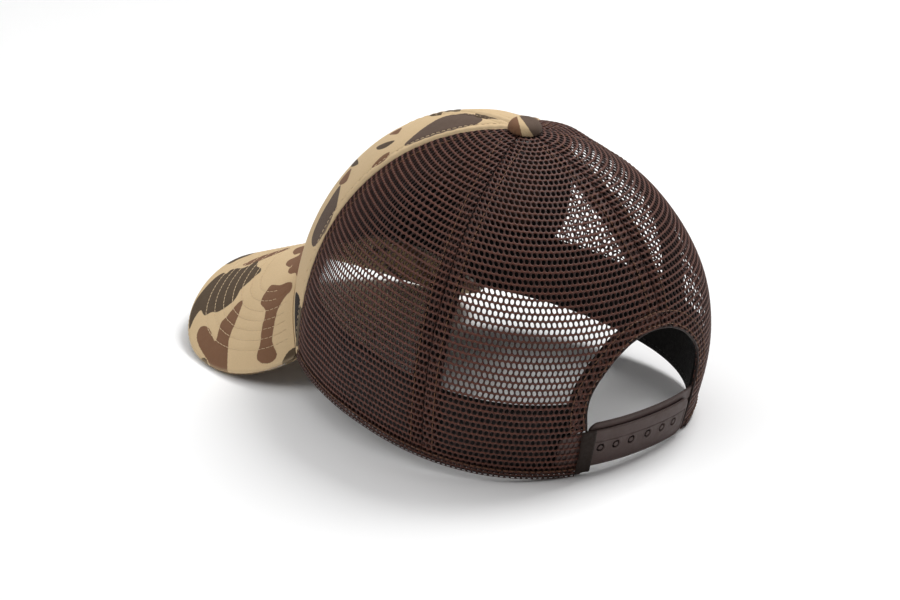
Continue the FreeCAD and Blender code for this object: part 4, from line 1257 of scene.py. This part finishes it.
def strap_mesh(f0, f1, offfn, lift, tip_at, holes, hole_r, relief=True, step=0.34):
    """A moulded strap with real holes: a flat pattern in (s, h) that is laid on the crown."""
    a, b = float(s_of(f0)), float(s_of(f1))
    lo, hi = min(a, b), max(a, b)
    hs = [float(s_of(x)) for x in holes]
    half = STRAP_W / 2
    # square cells round the holes
    c = 2.55
    n = 8
    verts, faces, key = [], [], {}

    def vid(s, h):
        k = (round(s * 200), round(h * 200))
        if k not in key:
            key[k] = len(verts)
            verts.append((s, h))
        return key[k]

    xs = [lo]
    marks = []
    for x in sorted(hs):
        marks += [x - c, x + c]
    edges = [lo] + marks + [hi]
    cols = []
    for i in range(len(edges) - 1):
        seg = edges[i + 1] - edges[i]
        m = n if i % 2 == 1 else max(int(round(seg / step)), 1)
        if seg < 0.02:
            continue
        cols.append((np.linspace(edges[i], edges[i + 1], m + 1), i % 2 == 1))
    hy_mid = np.linspace(-c, c, n + 1)
    top = half
    hy_up = np.concatenate([np.linspace(c, 3.9, 8), np.linspace(3.9, top - 2.6, 4)[1:], np.linspace(top - 2.6, top, 9)[1:]])
    hy_dn = -hy_up[::-1]
    ang0 = []
    for x0, x1 in ((0, 0),):
        pass
    for arr, is_hole in cols:
        for k in range(len(arr) - 1):
            for band in (hy_up, hy_dn) if is_hole else (hy_up, hy_dn, hy_mid):
                for j in range(len(band) - 1):
                    faces.append([vid(arr[k], band[j]), vid(arr[k + 1], band[j]), vid(arr[k + 1], band[j + 1]), vid(arr[k], band[j + 1])])
        if is_hole:
            cx = (arr[0] + arr[-1]) / 2
            sq = [(x, -c) for x in arr[:-1]] + [(arr[-1], y) for y in hy_mid[:-1]] + [(x, c) for x in arr[::-1][:-1]] + [(arr[0], y) for y in hy_mid[::-1][:-1]]
            prev = [vid(x, y) for x, y in sq]
            ang = [math.atan2(y, x - cx) for x, y in sq]
            for w in (0.35, 0.7, 1.0):
                cur = []
                for (x, y), an in zip(sq, ang):
                    ex, ey = cx + hole_r * math.cos(an), hole_r * math.sin(an)
                    cur.append(vid(x * (1 - w) + ex * w, y * (1 - w) + ey * w))
                for i in range(len(cur)):
                    j = (i + 1) % len(cur)
                    faces.append([prev[i], prev[j], cur[j], cur[i]])
                prev = cur
    V = np.array(verts)
    F = np.array(faces)
    # rounded tip
    s, h = V[:, 0].copy(), V[:, 1].copy()
    end = a if tip_at == "a" else b
    dist = np.abs(s - end)
    r = 5.0
    w = np.where(dist < r, half - r + np.sqrt(np.clip(r * r - (r - np.minimum(dist, r)) ** 2, 0, None)), half)
    w = np.maximum(w, half - r + 0.6)
    h = h * w / half
    edge = np.minimum(half * 0 + (w - np.abs(h)), dist + 0.0)
    ends = np.minimum(w - np.abs(h), dist)
    hole_d = np.min(np.stack([np.hypot(V[:, 0] - x, V[:, 1]) for x in hs]), axis=0) - hole_r if hs else np.full(len(s), 9.0)
    rel = np.zeros(len(s))
    if relief:
        well = np.minimum(np.minimum(3.3 - h, h + w - 1.4), dist - 1.9)
        rel -= 0.20 * np.clip(well / 0.4 + 0.5, 0, 1) + 0.42 * np.exp(-(well / 0.26) ** 2)
        rel += 0.20 * np.exp(-((hole_d - 0.55) / 0.4) ** 2)
    rel -= 0.32 * np.exp(-(ends / 0.35) ** 2)
    f = np.interp(s, *(lambda g: (g[1], g[0]))(_table()))
    o = offfn(f)
    up = strap_point(f, h + lift, o + rel)
    dn = strap_point(f, h + lift, o - STRAP_T + 0.25 * np.exp(-(ends / 0.35) ** 2))
    nn = len(V)
    e = np.concatenate([F[:, [0, 1]], F[:, [1, 2]], F[:, [2, 3]], F[:, [3, 0]]])
    k = np.sort(e, axis=1)
    kk = k[:, 0].astype(np.int64) * 1000003 + k[:, 1]
    u, fi, cnt = np.unique(kk, return_index=True, return_counts=True)
    bnd = e[fi[cnt == 1]]
    side = np.stack([bnd[:, 1], bnd[:, 0], bnd[:, 0] + nn, bnd[:, 1] + nn], -1)
    co = np.concatenate([up, dn])
    return co, np.concatenate([F, F[:, ::-1] + nn, side]), np.concatenate([np.column_stack([s, h, 0 * s])] * 2)


_tab = []


def _table():
    if not _tab:
        ff = np.linspace(148.0, 214.0, 800)
        g = np.linspace(150.0, 212.0, 700)
        p = strap_point(ff, 0 * ff, outer_off(ff))
        d = np.concatenate([[0], np.cumsum(np.linalg.norm(np.diff(p, axis=0), axis=1))])
        d = d - np.interp(150.0, ff, d)
        _tab.append((ff, d))
    return _tab[0]


co, fc, cl = strap_mesh(HINGE_F, TIP_F, outer_off, 0.0, "b", HOLE_F, 1.95)
so = build("strap_holed_moulding", co, fc, M_strap, body="outer_strap", attrs={"cloth": cl}, replaces=("strap_holed",))
co, fc, cl = strap_mesh(151.0, HINGE_F - 0.3, outer_off, 0.0, "a", [], 0, relief=False)
build("strap_holed_tab_moulding", co, fc, M_strap, attrs={"cloth": cl}, replaces=("strap_holed_tab",))
co, fc, cl = strap_mesh(PEG_HINGE_F, PEG_TIP_F, inner_off, 3.0, "b", [], 0)
base = build("strap_pegged_moulding", co, fc, M_strap, body="inner_strap", attrs={"cloth": cl}, replaces=("strap_pegged",))
co, fc, cl = strap_mesh(PEG_HINGE_F + 0.3, 209.0, lambda f: np.where(f > 201, -0.95, inner_off(f)), 3.0, "b", [], 0, relief=False)
build("strap_pegged_tab_moulding", co, fc, M_strap, attrs={"cloth": cl}, replaces=("strap_pegged_tab",))

# the pegs, domed, on the inner strap
pegs = []
for f in HOLE_F:
    c0 = strap_point(f, 0.0, inner_off(np.array(f)) - 0.1).reshape(3)
    b1 = strap_point(f, 2.0, 0.0).reshape(3) - strap_point(f, -2.0, 0.0).reshape(3)
    b2 = strap_point(f + 0.5, 0.0, 0.0).reshape(3) - strap_point(f - 0.5, 0.0, 0.0).reshape(3)
    z = unit(np.cross(b2, b1))
    x = unit(b1)
    y = np.cross(z, x)
    prof = [(1.45, 0.0), (1.15, 0.25), (1.02, 0.8), (1.02, 1.05), (1.20, 1.22), (1.24, 1.38), (1.12, 1.52), (0.85, 1.62), (0.45, 1.67), (0.02, 1.68)]
    a = np.arange(28) / 28 * 2 * np.pi
    P = np.array([[c0 + (x * math.cos(t) + y * math.sin(t)) * r + z * h for t in a] for r, h in prof])
    idx = np.arange(P.shape[0] * 28).reshape(P.shape[0], 28)
    q = np.stack([idx[:-1], np.roll(idx[:-1], -1, 1), np.roll(idx[1:], -1, 1), idx[1:]], -1).reshape(-1, 4).tolist()
    pegs.append((P.reshape(-1, 3), q + [list(idx[0][::-1]), list(idx[-1])]))
co, fc = joined(pegs)
build("strap_pegs", co, fc, M_strap, body="inner_strap")

# --------------------------------------------------------------------- label
lf = np.linspace(157.4, 162.0, 26)[:, None]
lt = np.linspace(0.010, 0.120, 40)[None]
LF, LT = np.broadcast_arrays(lf, lt)
puffy = 0.10 * noise2(LF * 2, LT * 150, 3, 9.0) - 0.35 * np.exp(-(np.minimum(LF - 157.4, 162.0 - LF) / 0.35) ** 2)
o = skin(LF, LT, 1.05 + puffy)
i = skin(LF, LT, 0.62 + 0 * puffy)
co, fc = slab(o, i)
ob = build("side_label_woven", co, fc, M_label, attrs={"cloth": two(np.dstack([LF * 1.6, LT * 150, 0 * LT]))}, replaces=("side_label",))

# ------------------------------------------------- the CAD nodes that are shown
for n, m in (("visor_board", M_board), ("button_rivet", M_metal), ("button_back", M_metal)):
    me = NODES[n].data
    me.materials.clear()
    me.materials.append(m)

# --------------------------------------------------------------- floor, light
def stage_material(name, v):
    m, nt, b = material(name)
    P = obj_vec(nt)
    col = mix(nt, noise(nt, P, 3.0, 2.0), (v, v, v), (v * 0.99, v * 0.99, v * 0.99))
    nt.links.new(col, b.inputs["Base Color"])
    b.inputs["Roughness"].default_value = 0.6
    return m


fl = bpy.data.meshes.new("floor")
R = 4.0
pts, fcs = [], []
ns = 64
prof = [(0.0, 0.0), (1.6, 0.0), (2.4, 0.0), (3.0, 0.12), (3.5, 0.5), (3.8, 1.2), (3.9, 2.4)]
for r, z in prof[1:]:
    for k in range(ns):
        a = k / ns * 2 * math.pi
        pts.append((r * math.cos(a), r * math.sin(a), z))
pts.append((0, 0, 0))
c = len(pts) - 1
for k in range(ns):
    fcs.append((c, k, (k + 1) % ns))
    for i in range(len(prof) - 2):
        fcs.append((i * ns + k, (i + 1) * ns + k, (i + 1) * ns + (k + 1) % ns, i * ns + (k + 1) % ns))
fl.from_pydata(pts, [], fcs)
fl.polygons.foreach_set("use_smooth", [True] * len(fl.polygons))
fl.materials.append(stage_material("floor_white", 0.95))
floor = bpy.data.objects.new("floor", fl)
bpy.context.scene.collection.objects.link(floor)

world = bpy.data.worlds.new("studio")
bpy.context.scene.world = world
world.use_nodes = True
world.node_tree.nodes["Background"].inputs["Color"].default_value = (1, 1, 1, 1)
world.node_tree.nodes["Background"].inputs["Strength"].default_value = 0.18


def area(name, loc, target, size, power, color=(1, 1, 1)):
    d = bpy.data.lights.new(name, "AREA")
    d.shape = "RECTANGLE"
    d.size, d.size_y = size
    d.energy = power
    d.color = color
    ob = bpy.data.objects.new(name, d)
    bpy.context.scene.collection.objects.link(ob)
    ob.location = loc
    ob.rotation_euler = (Vector(loc) - Vector(target)).to_track_quat("Z", "Y").to_euler()
    return ob


right = Vector((math.cos(a_), math.sin(a_), 0))
away = Vector((-back.x, -back.y, 0)).normalized()
mid = Vector((0, 0.0, 0.05))
area("key", tuple(mid + right * 0.60 + away * 0.50 + Vector((0, 0, 1.20))), mid, (0.6, 0.6), 15)
area("fill", tuple(mid - right * 1.1 - away * 0.3 + Vector((0, 0, 1.0))), mid, (0.8, 0.8), 6)
area("top", tuple(mid + Vector((0, 0, 1.7)) + away * 0.1), mid, (2.0, 2.0), 14)

bpy.context.scene.view_settings.view_transform = "Standard"
